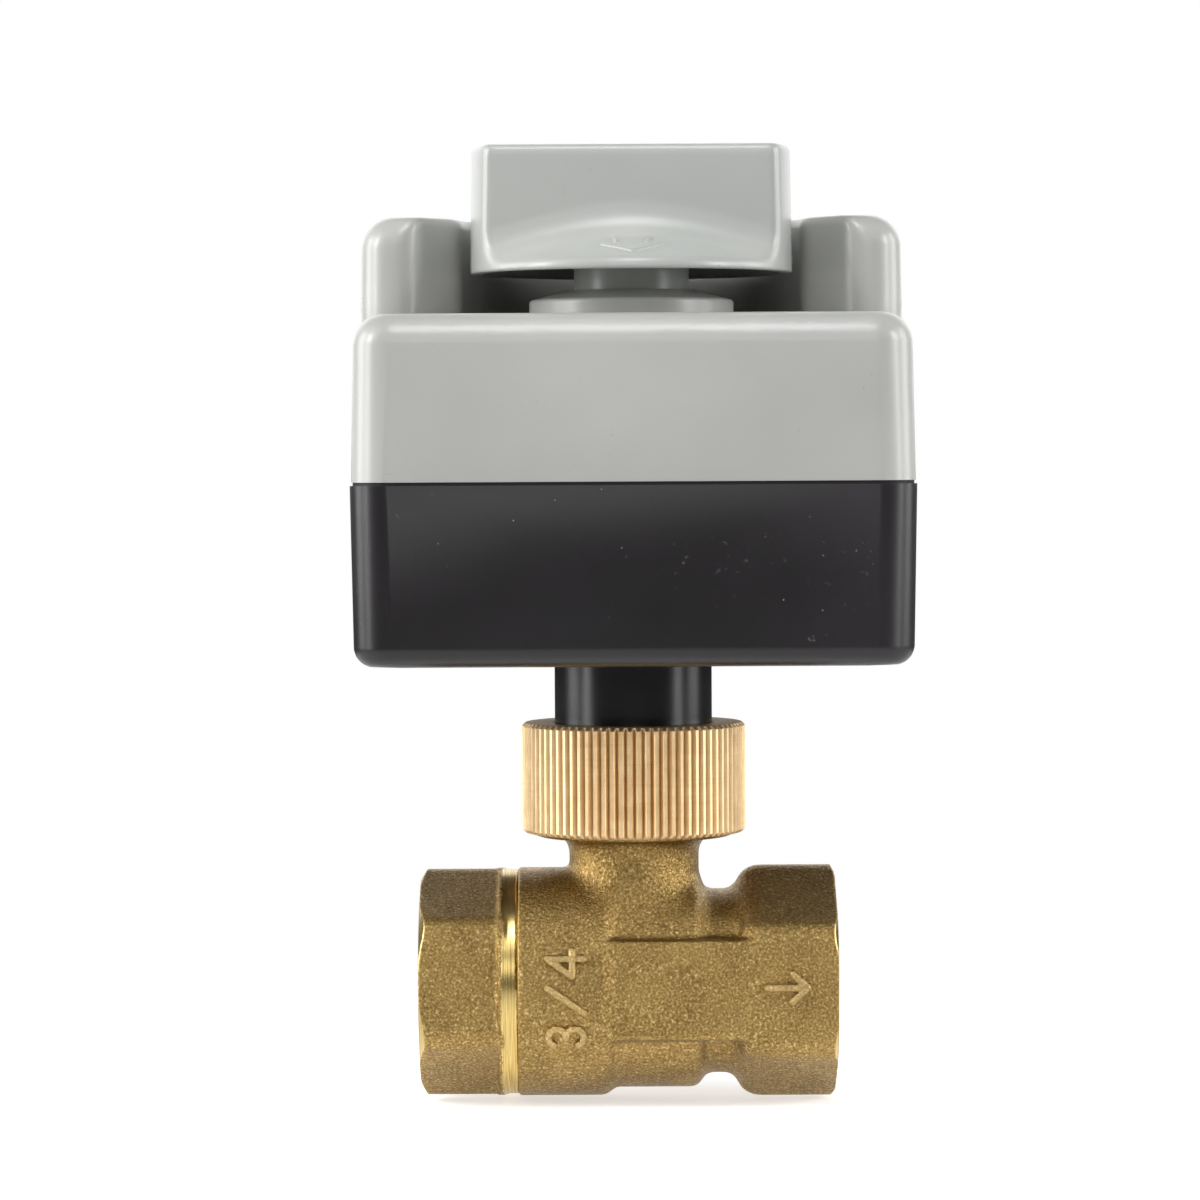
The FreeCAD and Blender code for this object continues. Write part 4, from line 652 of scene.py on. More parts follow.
def surface_net(distance, low, high, step):
    """Mesh of the zero level of a distance function.

    Each grid cell that the surface crosses gets one point, at the mean of the crossings on its edges, and
    each grid edge that it crosses gets one quad. The points then move along the gradient onto the level."""
    axes = [np.arange(a - step, b + 2 * step, step) for a, b in zip(low, high)]
    value = distance(np.stack(np.meshgrid(*axes, indexing="ij"), -1))
    inside = value < 0
    cells = tuple(n - 1 for n in value.shape)
    total, count = np.zeros(cells + (3,)), np.zeros(cells)
    for axis in range(3):
        others = [k for k in range(3) if k != axis]
        for first in (0, 1):
            for second in (0, 1):
                offset = np.zeros(3, int)
                offset[others] = first, second
                near = tuple(slice(o, o + n) for o, n in zip(offset, cells))
                offset[axis] = 1
                far = tuple(slice(o, o + n) for o, n in zip(offset, cells))
                crossed = inside[near] != inside[far]
                share = np.where(crossed, value[near] / np.where(crossed, value[near] - value[far], 1), 0)
                total[..., axis] += share
                total[..., others[0]] += crossed * first
                total[..., others[1]] += crossed * second
                count += crossed
    active = count > 0
    number = np.full(cells, -1)
    number[active] = np.arange(active.sum())
    origin = np.array([a[0] for a in axes])
    points = (np.argwhere(active) + total[active] / count[active][:, None]) * step + origin
    for _ in range(3):
        points = points - towards_level(distance, points, step)
    faces = [edge_quads(inside, number, axis) for axis in range(3)]
    return points, np.concatenate(faces)


def towards_level(distance, points, step):
    """Newton's step f * gradient / |gradient| squared, held to half a grid step."""
    reach = 0.02
    slopes = []
    for axis in range(3):
        shift = np.zeros(3)
        shift[axis] = reach
        slopes.append((distance(points + shift) - distance(points - shift)) / (2 * reach))
    gradient = np.stack(slopes, -1)
    size = np.maximum((gradient ** 2).sum(-1), 0.2)
    move = gradient * (distance(points) / size)[:, None]
    length = np.linalg.norm(move, axis=-1, keepdims=True)
    return move * np.minimum(1, 0.5 * step / np.maximum(length, 1e-9))


def edge_quads(inside, number, axis):
    """One quad round each crossed grid edge along an axis, turned to face out of the solid."""
    low = [slice(1, -1)] * 3
    high = [slice(1, -1)] * 3
    low[axis], high[axis] = slice(0, -1), slice(1, None)
    starts = inside[tuple(low)]
    crossed = starts != inside[tuple(high)]
    place = np.argwhere(crossed)
    second, third = (axis + 1) % 3, (axis + 2) % 3
    place[:, second] += 1
    place[:, third] += 1
    corners = []
    for down_second, down_third in ((0, 0), (1, 0), (1, 1), (0, 1)):
        cell = place.copy()
        cell[:, second] -= down_second
        cell[:, third] -= down_third
        corners.append(number[tuple(cell.T)])
    quads = np.stack(corners, -1)
    flipped = ~starts[crossed]
    quads[flipped] = quads[flipped][:, ::-1]
    return quads


def hexagon_distance(y, z, apothem, blend, turned_by=0.0):
    """Distance outside a hexagonal bar with a corner straight up: the largest of its three pairs of flats."""
    lean = math.radians(turned_by)
    y, z = y * math.cos(lean) - z * math.sin(lean), y * math.sin(lean) + z * math.cos(lean)
    far = np.abs(y) - apothem
    for bearing in (60, 120):
        turn = math.radians(bearing)
        far = smooth_max(far, np.abs(y * math.cos(turn) + z * math.sin(turn)) - apothem, blend)
    return far


def chamfer_distance(radius, inward, face_r):
    """Distance outside the cone that turns down a hexagon's corners, at inward millimetres from its face."""
    lean = math.radians(CHAMFER_DEG)
    return (radius - face_r) * math.sin(lean) - inward * math.cos(lean)


def stroke_distance(x, z, start, end):
    """Distance in the front view from points to a straight stroke."""
    start, end = np.array(start), np.array(end)
    run = end - start
    along = np.clip(((x - start[0]) * run[0] + (z - start[1]) * run[1]) / (run @ run), 0, 1)
    return np.hypot(x - start[0] - along * run[0], z - start[1] - along * run[1])


def arc_strokes(centre, radius, start, end, count=7):
    """Short strokes along an arc between two bearings in degrees."""
    turns = np.radians(np.linspace(start, end, count + 1))
    points = [(centre[0] + radius * math.cos(t), centre[1] + radius * math.sin(t)) for t in turns]
    return list(zip(points[:-1], points[1:]))


def size_figures():
    """Strokes of the nominal size in inches, 3/4, each figure drawn to the right of the one before."""
    tall, wide, step = FIGURE_TALL, FIGURE_WIDE, FIGURE_STEP
    lobe = tall / 4
    three = arc_strokes((wide / 2 - LOBE_SHIFT, tall - lobe), lobe, 160, -90)
    three += arc_strokes((wide / 2 - LOBE_SHIFT, lobe), lobe, 90, -160)
    slash = [((step, 0.0), (step + wide, tall))]
    left, upright, bar = 2 * step, 2 * step + wide * FOUR_STEM, tall * FOUR_BAR
    four = [((upright, 0.0), (upright, tall)), ((upright, tall), (left, bar)),
            ((left, bar), (left + wide, bar))]
    return three + slash + four


def relief_strokes():
    """The size, read from below to above on the barrel, and a plain arrow for the flow on the hexagon."""
    strokes = []
    for start, end in size_figures():
        strokes.append([(FIGURE_BASE_X - v, FIGURE_LOW_Z + u) for u, v in (start, end)])
    strokes += [(start, FLOW_TIP) for start in FLOW_STARTS]
    return strokes


def relief_distance(p):
    """The raised strokes: columns through the casting's skin, cut off at a level above it."""
    x, z = p[..., 0], p[..., 2]
    nearest = np.full(x.shape, 1e3)
    for start, end in relief_strokes():
        nearest = np.minimum(nearest, stroke_distance(x, z, start, end))
    skin = body_distance(p)
    raised = smooth_max(nearest - RELIEF_WIDTH / 2, skin - RELIEF_HEIGHT, RELIEF_ROUND)
    return smooth_max(raised, -skin - RELIEF_ROOT, RELIEF_ROOT_ROUND)


def body_distance(p):
    """The casting: barrel, waist, neck and hexagon in line, the pads and the flared bonnet, all bored out."""
    x, y, z = p[..., 0], p[..., 1], p[..., 2]
    around = np.hypot(y, z)
    barrel = smooth_max(around - BODY_R, x - STEP_X - STEP_LAP, BARREL_ROUND)
    barrel = smooth_max(barrel, BODY_START_X - x, START_ROUND)
    waist = np.maximum(WAIST_START_X - x, x - WAIST_END_X - WAIST_LAP)
    waist = smooth_max(around - WAIST_R, waist, WAIST_ROUND)
    neck = np.maximum(around - NECK_R, np.maximum(-x, x - HEX_START_X - HEX_LAP))
    solid = smooth_min(barrel, waist, BARREL_FILLET)
    solid = smooth_min(solid, neck, NECK_FILLET)
    bar = hexagon_distance(y, z, HEX_APOTHEM, HEX_CORNER_ROUND)
    outlet = smooth_max(bar, HEX_START_X - x, HEX_SHOULDER_ROUND)
    chamfer = chamfer_distance(around, BODY_END_X - x, OUTLET_FACE_R)
    outlet = smooth_max(outlet, np.maximum(x - BODY_END_X, chamfer), HEX_RIM_ROUND)
    solid = smooth_min(solid, outlet, HEX_FILLET)
    pad = np.maximum(STEP_X + PAD_LAP - x, x - HEX_START_X - HEX_LAP)
    pad = np.maximum(np.abs(y) - HEX_APOTHEM, pad)
    pad = smooth_max(pad, np.maximum(PAD_LOW_Z - z, z - PAD_HIGH_Z), PAD_ROUND)
    solid = smooth_min(solid, pad, PAD_FILLET)
    stem = np.hypot(x, y)
    bonnet = np.maximum(stem - BONNET_R, np.maximum(-z, z - BODY_TOP_Z + BONNET_LAP))
    # the fillet round the bonnet's foot is full in front and behind and tight along the pipe
    across = (y / np.maximum(stem, 1)) ** 2
    solid = smooth_min(solid, bonnet, FOOT_FILLET_ALONG + FOOT_FILLET_MORE_ACROSS * across)
    flare = smooth_max(stem - FLARE_R, np.maximum(FLARE_Z - z, z - BODY_TOP_Z), FLARE_ROUND)
    solid = smooth_min(solid, flare, FLARE_FILLET)
    cuts = [
        np.maximum(around - CHAMBER_R, x - CHAMBER_REACH),
        np.maximum(around - SOCKET_R, x + SOCKET_FLOOR),
        np.maximum(around - FLOW_R, -x),
        np.maximum(around - PORT_R, BODY_END_X - PORT_DEPTH - x),
        np.maximum(stem - STEM_HOLE_R, -z),
        np.maximum(stem - COLLAR_HOLE_R, np.maximum(-z, z - COLLAR_HOLE_TOP)),
    ]
    for cut in cuts:
        solid = smooth_max(solid, -cut, BORE_ROUND)
    return solid


def tail_distance(p):
    """The inlet tailpiece: hexagon, turned flange and the nose that goes into the casting, bored through."""
    x, y, z = p[..., 0], p[..., 1], p[..., 2]
    around = np.hypot(y, z)
    bar = hexagon_distance(y, z, TAIL_APOTHEM, HEX_CORNER_ROUND, TAIL_TURN_DEG)
    bar = smooth_max(bar, x - RING_GROOVE_X - GROOVE_LAP, START_ROUND)
    chamfer = chamfer_distance(around, x - TAIL_END_X, INLET_FACE_R)
    bar = smooth_max(bar, np.maximum(TAIL_END_X - x, chamfer), HEX_RIM_ROUND)
    flange = np.maximum(around - RING_R, np.maximum(RING_START_X - x, x - BODY_START_X))
    solid = smooth_min(bar, flange, FLANGE_FILLET)
    nose = np.maximum(around - NOSE_R, np.maximum(RING_START_X - x, x - NOSE_END_X))
    solid = smooth_min(solid, nose, BORE_ROUND)
    solid = smooth_max(solid, FLOW_R - around, BORE_ROUND)
    port = np.maximum(around - PORT_R, x - TAIL_END_X - PORT_DEPTH)
    return smooth_max(solid, -port, BORE_ROUND)


def above_ledge(around, z):
    """How far a height lies above the knob's ledge, which slopes up from the rim towards the stem."""
    return z - KNOB_LOW_Z - KNOB_RIM_H - (KNOB_R - around) * LEDGE_SLOPE


def knob_distance(p):
    """The knob: a tapered drum, cut down beside the grip to sloping ledges, hollow below, on its stem."""
    x, y, z = p[..., 0], p[..., 1], p[..., 2]
    around = np.hypot(x, y)
    risen = (z - KNOB_LOW_Z - KNOB_RIM_H) / (KNOB_TOP_Z - KNOB_LOW_Z - KNOB_RIM_H)
    drum = around - KNOB_R + KNOB_TAPER * np.clip(risen, 0, 1)
    ledge = above_ledge(around, z) / math.hypot(1, LEDGE_SLOPE)
    grip = smooth_max(np.abs(y) - GRIP_HALF, z - KNOB_TOP_Z, GRIP_ROUND)
    upper = smooth_min(ledge, grip, GRIP_FILLET)
    solid = smooth_max(drum, upper, DRUM_ROUND)
    solid = smooth_max(solid, KNOB_LOW_Z - z, KNOB_RIM_ROUND)
    hollow = smooth_max(around - KNOB_R + KNOB_WALL, ledge + KNOB_WALL, KNOB_INNER_ROUND)
    solid = smooth_max(solid, -hollow, KNOB_RIM_ROUND)
    stem = np.maximum(knob_stem_low() - z, z - KNOB_LOW_Z - KNOB_STEM_LAP)
    stem = np.maximum(around - KNOB_STEM_R, stem)
    return smooth_min(solid, stem, KNOB_INNER_ROUND)


def knob_stem_low():
    """The modelled skin of the stem ends inside the collar, where the model's own stem is hidden."""
    return collar_low[2] + KNOB_STEM_HIDDEN


def thread_liner(face_x, side):
    """A pipe thread's skin inside a port.

    At x millimetres in from the face and bearing a, the radius is the minor radius plus the thread's depth
    times a rounded saw of (x / pitch - side * a / turn), and not under the cone of the entry."""
    bearing = np.linspace(0, 2 * np.pi, THREAD_COLUMNS, endpoint=False)
    inward = np.linspace(THREAD_START, PORT_DEPTH - THREAD_END_GAP, THREAD_ROWS)
    phase = inward[:, None] / THREAD_PITCH - side * bearing[None, :] / (2 * np.pi)
    # a quarter steeper than a plain saw and cut off, which leaves flats on the crests and in the roots
    saw = np.clip(np.abs((phase % 1) * 2 - 1) * 1.25 - 0.125, 0, 1)
    fade = np.clip((inward[:, None] - PORT_DEPTH + THREAD_RUNOUT_START) / THREAD_RUNOUT, 0, 1)
    radius = THREAD_MINOR_R + (PORT_R - THREAD_CREST_GAP - THREAD_MINOR_R) * np.maximum(saw, fade)
    entry = PORT_R + ENTRY_LIFT - inward[:, None] * ENTRY_SLOPE
    radius = np.maximum(radius, np.minimum(entry, PORT_R - THREAD_CREST_GAP))
    back = np.full((1, THREAD_COLUMNS), PORT_R + LINER_BACK)
    radius = np.concatenate([radius, back, back])
    inward = np.concatenate([inward, [inward[-1], inward[0]]])
    x = np.repeat((face_x + side * inward)[:, None], THREAD_COLUMNS, 1)
    points = np.stack([x, radius * np.cos(bearing), radius * np.sin(bearing)], -1)
    faces = wrapped_quads(len(inward), THREAD_COLUMNS)
    if side < 0:
        faces = faces[:, ::-1]
    return points.reshape(-1, 3), faces


def nut_ripple(bearing, radius):
    """Knurl depth at a bearing: flat crests with V grooves between, only on the outer wall."""
    share = np.abs(((bearing * NUT_TEETH / (2 * np.pi)) % 1) * 2 - 1)
    groove = np.clip((share - NUT_CREST_SHARE) / NUT_GROOVE_SHARE, 0, 1) * NUT_TOOTH_DEPTH
    outer = radius > NUT_R - NUT_TOOTH_DEPTH - NUT_TOOTH_START
    return -np.minimum(groove, np.maximum(radius - (NUT_R - NUT_TOOTH_DEPTH), 0)) * outer


def make_union_nut(finish):
    """The nut's closed outline: knurled wall, chamfers, faces, the lip's bore and the thread's bore."""
    low, high = nut_low[2], nut_high[2]
    outline = [(NUT_THREAD_R, low, 0.15), (NUT_R - NUT_CHAMFER, low, 0), (NUT_R, low + NUT_CHAMFER, 0)]
    outline += [(NUT_R, low + share * (high - low), 0) for share in (0.2, 0.4, 0.6, 0.8)]
    outline += [(NUT_R, high - NUT_CHAMFER, 0), (NUT_R - NUT_CHAMFER, high, 0),
                (NUT_BORE_R + NUT_BORE_CHAMFER, high, 0.2), (NUT_BORE_R, high - NUT_BORE_CHAMFER, 0.2),
                (NUT_BORE_R, NUT_LIP_Z, 0), (NUT_THREAD_R, NUT_LIP_Z, 0)]
    points, faces = turned(softened(outline), NUT_TEETH * NUT_TOOTH_COLUMNS, nut_ripple)
    return sharpen(make_mesh("union_nut_knurled", points, faces, finish), 28)


def make_collar(finish):
    """The low collar under the knob: a soft-edged disc with a conical top, and a spigot in the deck."""
    deck = cover_high[2] - BLOCK_TALL
    bore, edge = KNOB_STEM_R + COLLAR_GAP, collar_high[0]
    outline = [(bore, collar_low[2], 0.2), (SPIGOT_R, collar_low[2], 0.3), (SPIGOT_R, deck, 0),
               (edge, deck, 0.15), (edge, deck + COLLAR_EDGE_H, 0.5),
               (bore + COLLAR_TOP_WIDTH, collar_high[2], 0.3), (bore, collar_high[2], 0.2)]
    points, faces = turned(softened(outline, 5), COLLAR_COLUMNS)
    return sharpen(make_mesh("collar_moulded", points, faces, finish), 40)


def make_neck(finish):
    """The round skin of the housing's neck, a ring between its inner and its outer radius."""
    inner, outer = NECK_R_OUT - NECK_SKIN_IN, NECK_R_OUT + NECK_SKIN_OUT
    outline = [(inner, NECK_SKIN_LOW, 0), (outer, NECK_SKIN_LOW, 0), (outer, HOUSING_LOW_Z, 0),
               (inner, HOUSING_LOW_Z, 0)]
    points, faces = turned(softened(outline), NECK_COLUMNS)
    return sharpen(make_mesh("base_neck", points, faces, finish), 40)


def make_arrow(finish):
    """Raised lines on the knob's front ledge: a half-round ridge along each stroke."""
    points, faces = [], []
    for start, end in ARROW_STROKES:
        made, quads = stroke_ridge(np.array(start), np.array(end))
        faces.append(quads + sum(len(p) for p in points))
        points.append(made)
    return make_mesh("knob_arrow", np.concatenate(points), np.concatenate(faces), finish)


def stroke_ridge(start, end):
    """A half-round ridge from start to end on the ledge.

    At share s along and bearing a round the ridge, the point is the stroke's line, moved across it by
    width(s) cos a and raised off the ledge by the flatness times width(s) sin a. The width closes at both
    ends as a circle does."""
    along = np.linspace(-1, 1, RIDGE_ROWS)
    reach = np.linalg.norm(end - start) / 2 + RIDGE_HALF_WIDTH
    direction = (end - start) / np.linalg.norm(end - start)
    across = np.array([-direction[1], direction[0]])
    place = along * reach
    tip = np.clip((np.abs(place) - reach + RIDGE_HALF_WIDTH) / RIDGE_HALF_WIDTH, 0, 1)
    # the ends close to a fiftieth of the width, which keeps their quads whole
    width = RIDGE_HALF_WIDTH * np.sqrt(np.maximum(1 - tip ** 2, 0.0004))
    bearing = np.linspace(0, 2 * np.pi, RIDGE_COLUMNS, endpoint=False)
    flat = (start + end) / 2 + place[:, None, None] * direction
    flat = flat + (width[:, None] * np.cos(bearing))[..., None] * across
    around = np.hypot(flat[..., 0], flat[..., 1])
    height = -above_ledge(around, 0.0) + width[:, None] * np.sin(bearing) * RIDGE_FLATNESS
    ridge = np.concatenate([flat, height[..., None]], -1).reshape(-1, 3)
    row, column = np.meshgrid(np.arange(RIDGE_ROWS - 1), np.arange(RIDGE_COLUMNS), indexing="ij")
    following = (column + 1) % RIDGE_COLUMNS
    here, above = row * RIDGE_COLUMNS, (row + 1) * RIDGE_COLUMNS
    corners = [here + column, here + following, above + following, above + column]
    return ridge, np.stack([c.ravel() for c in corners], -1)


def block_plan():
    """The raised part's outline in plan at its roof: arcs of centre, radius, first and last bearing."""
    flare = math.radians(RECESS_FLARE_DEG)
    tip_x, corner_x = BLOCK_HALF - TIP_R, BLOCK_HALF - BLOCK_CORNER_R
    reach = tip_x * math.sin(flare) + TIP_Y * math.cos(flare) - TIP_R + HORN_R
    turn = math.degrees(math.asin(reach / (RECESS_R + HORN_R))) - RECESS_FLARE_DEG
    horn = (RECESS_R + HORN_R) * np.array([math.cos(math.radians(turn)), math.sin(math.radians(turn))])
    arcs = [
        ((tip_x, TIP_Y), TIP_R, -90 - RECESS_FLARE_DEG, 0),
        ((corner_x, BLOCK_BACK_Y - BLOCK_CORNER_R), BLOCK_CORNER_R, 0, 90),
        ((-corner_x, BLOCK_BACK_Y - BLOCK_CORNER_R), BLOCK_CORNER_R, 90, 180),
        ((-tip_x, TIP_Y), TIP_R, 180, 270 + RECESS_FLARE_DEG),
        ((-horn[0], horn[1]), HORN_R, RECESS_FLARE_DEG - 90, -turn),
        ((0, 0), RECESS_R, 180 - turn, turn),
        ((horn[0], horn[1]), HORN_R, 180 + turn, 270 - RECESS_FLARE_DEG),
    ]
    points = []
    for (x, y), radius, first, last in arcs:
        bearing = np.radians(np.linspace(first, last, 2 + int(abs(last - first) / ARC_POINT_DEG)))
        points.append(np.stack([x + radius * np.cos(bearing), y + radius * np.sin(bearing)], -1))
    return np.concatenate(points)


def plan_distance(x, y, outline):
    """Signed distance in plan to a closed outline, negative inside."""
    nearest, inside = np.full(x.shape, 1e6), np.zeros(x.shape, bool)
    for (x0, y0), (x1, y1) in zip(outline, np.roll(outline, -1, 0)):
        run_x, run_y = x1 - x0, y1 - y0
        along = np.clip(((x - x0) * run_x + (y - y0) * run_y) / max(run_x ** 2 + run_y ** 2, 1e-12), 0, 1)
        nearest = np.minimum(nearest, np.hypot(x - x0 - along * run_x, y - y0 - along * run_y))
        if y0 != y1:
            crosses = ((y0 > y) != (y1 > y)) & (x < x0 + (y - y0) * run_x / run_y)
            inside ^= crosses
    return np.where(inside, -nearest, nearest)


def block_table():
    """The plan distance on a grid that covers the raised part, with its low corner."""
    low = np.array([-BLOCK_HALF - PLAN_MARGIN, PLAN_FRONT_Y])
    high = np.array([BLOCK_HALF + PLAN_MARGIN, BLOCK_BACK_Y + PLAN_MARGIN])
    count = np.ceil((high - low) / PLAN_STEP).astype(int) + 1
    x, y = np.meshgrid(*(a + np.arange(n) * PLAN_STEP for a, n in zip(low, count)), indexing="ij")
    return plan_distance(x, y, block_plan()), low


def looked_up(table, low, x, y):
    """A table's value between its grid points."""
    u = np.clip((x - low[0]) / PLAN_STEP, 0, table.shape[0] - 1.001)
    v = np.clip((y - low[1]) / PLAN_STEP, 0, table.shape[1] - 1.001)
    i, j = u.astype(int), v.astype(int)
    u, v = u - i, v - j
    return ((table[i, j] * (1 - u) + table[i + 1, j] * u) * (1 - v)
            + (table[i, j + 1] * (1 - u) + table[i + 1, j + 1] * u) * v)


def make_raised_skin(finish):
    """The raised part's skin: the drafted plan, fully rounded outside and tightly at the recess.

    The round of two distances a and b to radius r is |max(a + r, 0), max(b + r, 0)| - r, with r going from
    the recess's to the outer edge's between two distances from the stem."""
    table, low = block_table()
    roof = cover_high[2]
    deck = roof - BLOCK_TALL

    def distance(p):
        x, y, z = p[..., 0], p[..., 1], p[..., 2]
        share = np.clip((np.hypot(x, y) - EDGE_CHANGE_R) / EDGE_CHANGE_WIDTH, 0, 1)
        share = share * share * (3 - 2 * share)
        proud = SKIN_PROUD - TUCK * np.clip((deck + TUCK_HEIGHT - z) / TUCK_TALL, 0, 1)
        draft = share * (roof - z) * math.tan(math.radians(BLOCK_DRAFT_DEG))
        side = looked_up(table, low, x, y) - draft - proud
        top = z - roof - SKIN_PROUD
        radius = RECESS_EDGE_R + (OUTER_EDGE_R - RECESS_EDGE_R) * share
        outside = np.hypot(np.maximum(side + radius, 0), np.maximum(top + radius, 0)) - radius
        outside = outside + np.minimum(np.maximum(side + radius, top + radius), 0)
        skin = smooth_max(outside, -outside - SKIN_DEPTH, SKIN_ROUND)
        return np.maximum(skin, deck - SKIN_FOOT - z)

    foot = deck - (SKIN_FOOT + SKIN_END_MARGIN)
    box_low = np.array([-BLOCK_HALF - SKIN_MARGIN, TIP_Y - TIP_R - SKIN_MARGIN, foot])
    box_high = np.array([BLOCK_HALF + SKIN_MARGIN, BLOCK_BACK_Y + SKIN_MARGIN, roof + SKIN_END_MARGIN])
    points, faces = surface_net(distance, box_low, box_high, SKIN_STEP)
    return make_mesh("cover_raised_skin", points, faces, finish)


def smooth_copy(node, finish, name):
    """A merged copy of a node's mesh with smooth curved faces and crisp edges, in the node's own place."""
    mesh = frame["nodes"][node].data.copy()
    mesh.name = name
    made = bpy.data.objects.new(name, mesh)
    bpy.context.scene.collection.objects.link(made)
    mesh.materials.clear()
    mesh.materials.append(finish)
    bpy.context.view_layer.objects.active = made
    welded = made.modifiers.new("welded", "WELD")
    welded.merge_threshold = 1e-6
    bpy.context.view_layer.update()
    graph = bpy.context.evaluated_depsgraph_get()
    merged = bpy.data.meshes.new_from_object(made.evaluated_get(graph))
    made.modifiers.clear()
    made.data = merged
    merged.shade_smooth()
    return sharpen(made)


def place_piece(piece, body, slot, *nodes):
    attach(piece, body)
    if nodes:
        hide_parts(*nodes)


# Finishes
GREY_ABS = moulded_plastic("grey_abs", "#B3B4B0", "#B8B9B5", "#AEAFAC", "#7E7F7C", 0.3, 0.05, 0.12)
KNOB_ABS = moulded_plastic("knob_abs", "#B0B3AF", "#B6B8B4", "#AAAEAB", "#878A88", 0.3, 0.08, 0.08)
BLACK_ABS = moulded_plastic("black_abs", "#1C191C", "#221E22", "#171517", "#A8A49C", 0.32, 0.5, 0.3)
# the neck's copy of the black plastic is darker: painted shade for its place under the housing
NECK_ABS_PAINTED_SHADE = moulded_plastic("black_abs_neck_painted_shade", "#161516", "#191819", "#131213", "#98948C", 0.24, 0.2, 0.1)
CAST_BRASS = cast_brass("cast_brass", 0.0)
# the copy for the raised strokes is painted lighter, a painted highlight that makes them stand out
PAINTED_HIGHLIGHT_BRASS = cast_brass("cast_brass_painted_highlight", 0.22)
KNURLED_BRASS = turned_brass("knurled_brass", NUT_R)
TURNED_BRASS = turned_brass("turned_brass")
ZINC_STEEL = plain_metal("zinc_plated_steel", "#C9CBCE", "#A9ACB0", 0.28, 0.4)
CHROME = plain_metal("chromed_brass", "#E2E3E5", "#CDCFD2", 0.08, 0.6)
ALUMINIUM = plain_metal("drawn_aluminium", "#D0D2D5", "#B8BBBF", 0.3, 0.3)
PTFE = soft_plastic("ptfe", "#F1F1EC", "#E6E6E0", 0.45, 0.4, 1.38)
RUBBER = soft_plastic("nitrile_rubber", "#1D1D1E", "#141415", 0.6, 0.5)
ACETAL = soft_plastic("acetal", "#ECEAE0", "#E0DDD2", 0.35, 0.5, 1.48)
SWITCH_BLACK = soft_plastic("phenolic_black", "#232325", "#19191B", 0.4, 0.3)
TERMINAL_GREEN = soft_plastic("terminal_green", "#2C8A50", "#237443", 0.4, 0.3)
BOARD_GREEN = circuit_board_green()

FINISHES = {
    "cast_brass": CAST_BRASS, "turned_brass": TURNED_BRASS, "black_abs": BLACK_ABS, "grey_abs": GREY_ABS,
    "steel": ZINC_STEEL, "chromed_brass": CHROME, "ptfe": PTFE, "rubber": RUBBER, "acetal": ACETAL,
    "board": BOARD_GREEN, "switch_black": SWITCH_BLACK, "terminal_green": TERMINAL_GREEN,
    "aluminium": ALUMINIUM,
}
SLOTS = {part["node"]: part["material_slot"] for part in frame["record"]["subparts"]}


def dress_nodes():
    """Every node that stays gets the finish of its material slot."""
    for node, piece in frame["nodes"].items():
        piece.data.materials.clear()
        piece.data.materials.append(FINISHES[SLOTS[node]])


def make_pieces():
    points, faces = surface_net(body_distance, body_low - CAST_MARGIN, body_high + CAST_MARGIN, BODY_STEP)
    place_piece(make_mesh("valve_body_cast", points, faces, CAST_BRASS), "root", "cast_brass", "valve_body")
    for name, (low, high) in RELIEF_BOXES.items():
        points, faces = surface_net(relief_distance, np.array(low), np.array(high), RELIEF_STEP)
        place_piece(make_mesh(name, points, faces, PAINTED_HIGHLIGHT_BRASS), "root", "cast_brass")
    points, faces = surface_net(tail_distance, tail_low - CAST_MARGIN, tail_high + CAST_MARGIN, TAIL_STEP)
    place_piece(make_mesh("tailpiece_cast", points, faces, CAST_BRASS), "root", "cast_brass", "tailpiece")
    for name, face_x, side in (("inlet_thread", TAIL_END_X, 1), ("outlet_thread", BODY_END_X, -1)):
        points, faces = thread_liner(face_x, side)
        place_piece(make_mesh(name, points, faces, TURNED_BRASS), "root", "turned_brass")
    place_piece(make_union_nut(KNURLED_BRASS), "nut", "turned_brass", "union_nut")
    low = np.array([-KNOB_R, -KNOB_R, knob_stem_low()])
    high = np.array([KNOB_R, KNOB_R, KNOB_TOP_Z])
    points, faces = surface_net(knob_distance, low - KNOB_MARGIN, high + KNOB_MARGIN, KNOB_STEP)
    place_piece(make_mesh("knob_moulded", points, faces, KNOB_ABS), "knob", "grey_abs", "manual_knob")
    place_piece(make_arrow(KNOB_ABS), "knob", "grey_abs")
    place_piece(make_collar(GREY_ABS), "root", "grey_abs", "knob_collar")
    place_piece(make_raised_skin(GREY_ABS), "root", "grey_abs")
    place_piece(make_neck(NECK_ABS_PAINTED_SHADE), "root", "black_abs")
    for node in ("cover", "base_housing", "ball", "seat_rings", "gland_body", "gland_cap", "gland_seal"):
        body = frame["nodes"][node]["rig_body"]
        piece = smooth_copy(node, FINISHES[SLOTS[node]], node + "_shell")
        place_piece(piece, body, SLOTS[node], node)


def soft_box(name, bearing, rise, wide, tall, brightness):
    """A soft box a metre from the valve and facing it, at a bearing from straight in front towards +X and a
    rise above the level, as wide and as tall as it looks from the valve, all four in degrees."""
    light = bpy.data.lights.new(name, "AREA")
    light.shape = "RECTANGLE"
    light.size = 2 * math.tan(math.radians(wide / 2)) * math.cos(math.radians(rise))
    light.size_y = 2 * math.tan(math.radians(tall / 2))
    light.energy = LAMP_POWER * light.size * light.size_y * brightness
    turn, lift = math.radians(bearing), math.radians(rise)
    outward = Vector((math.sin(turn) * math.cos(lift), -math.cos(turn) * math.cos(lift), math.sin(lift)))
    lamp = bpy.data.objects.new(name, light)
    lamp.location = LAMP_AIM + outward
    lamp.rotation_euler = (-outward).to_track_quat("-Z", "Y").to_euler()
    lamp.visible_camera = False
    bpy.context.scene.collection.objects.link(lamp)


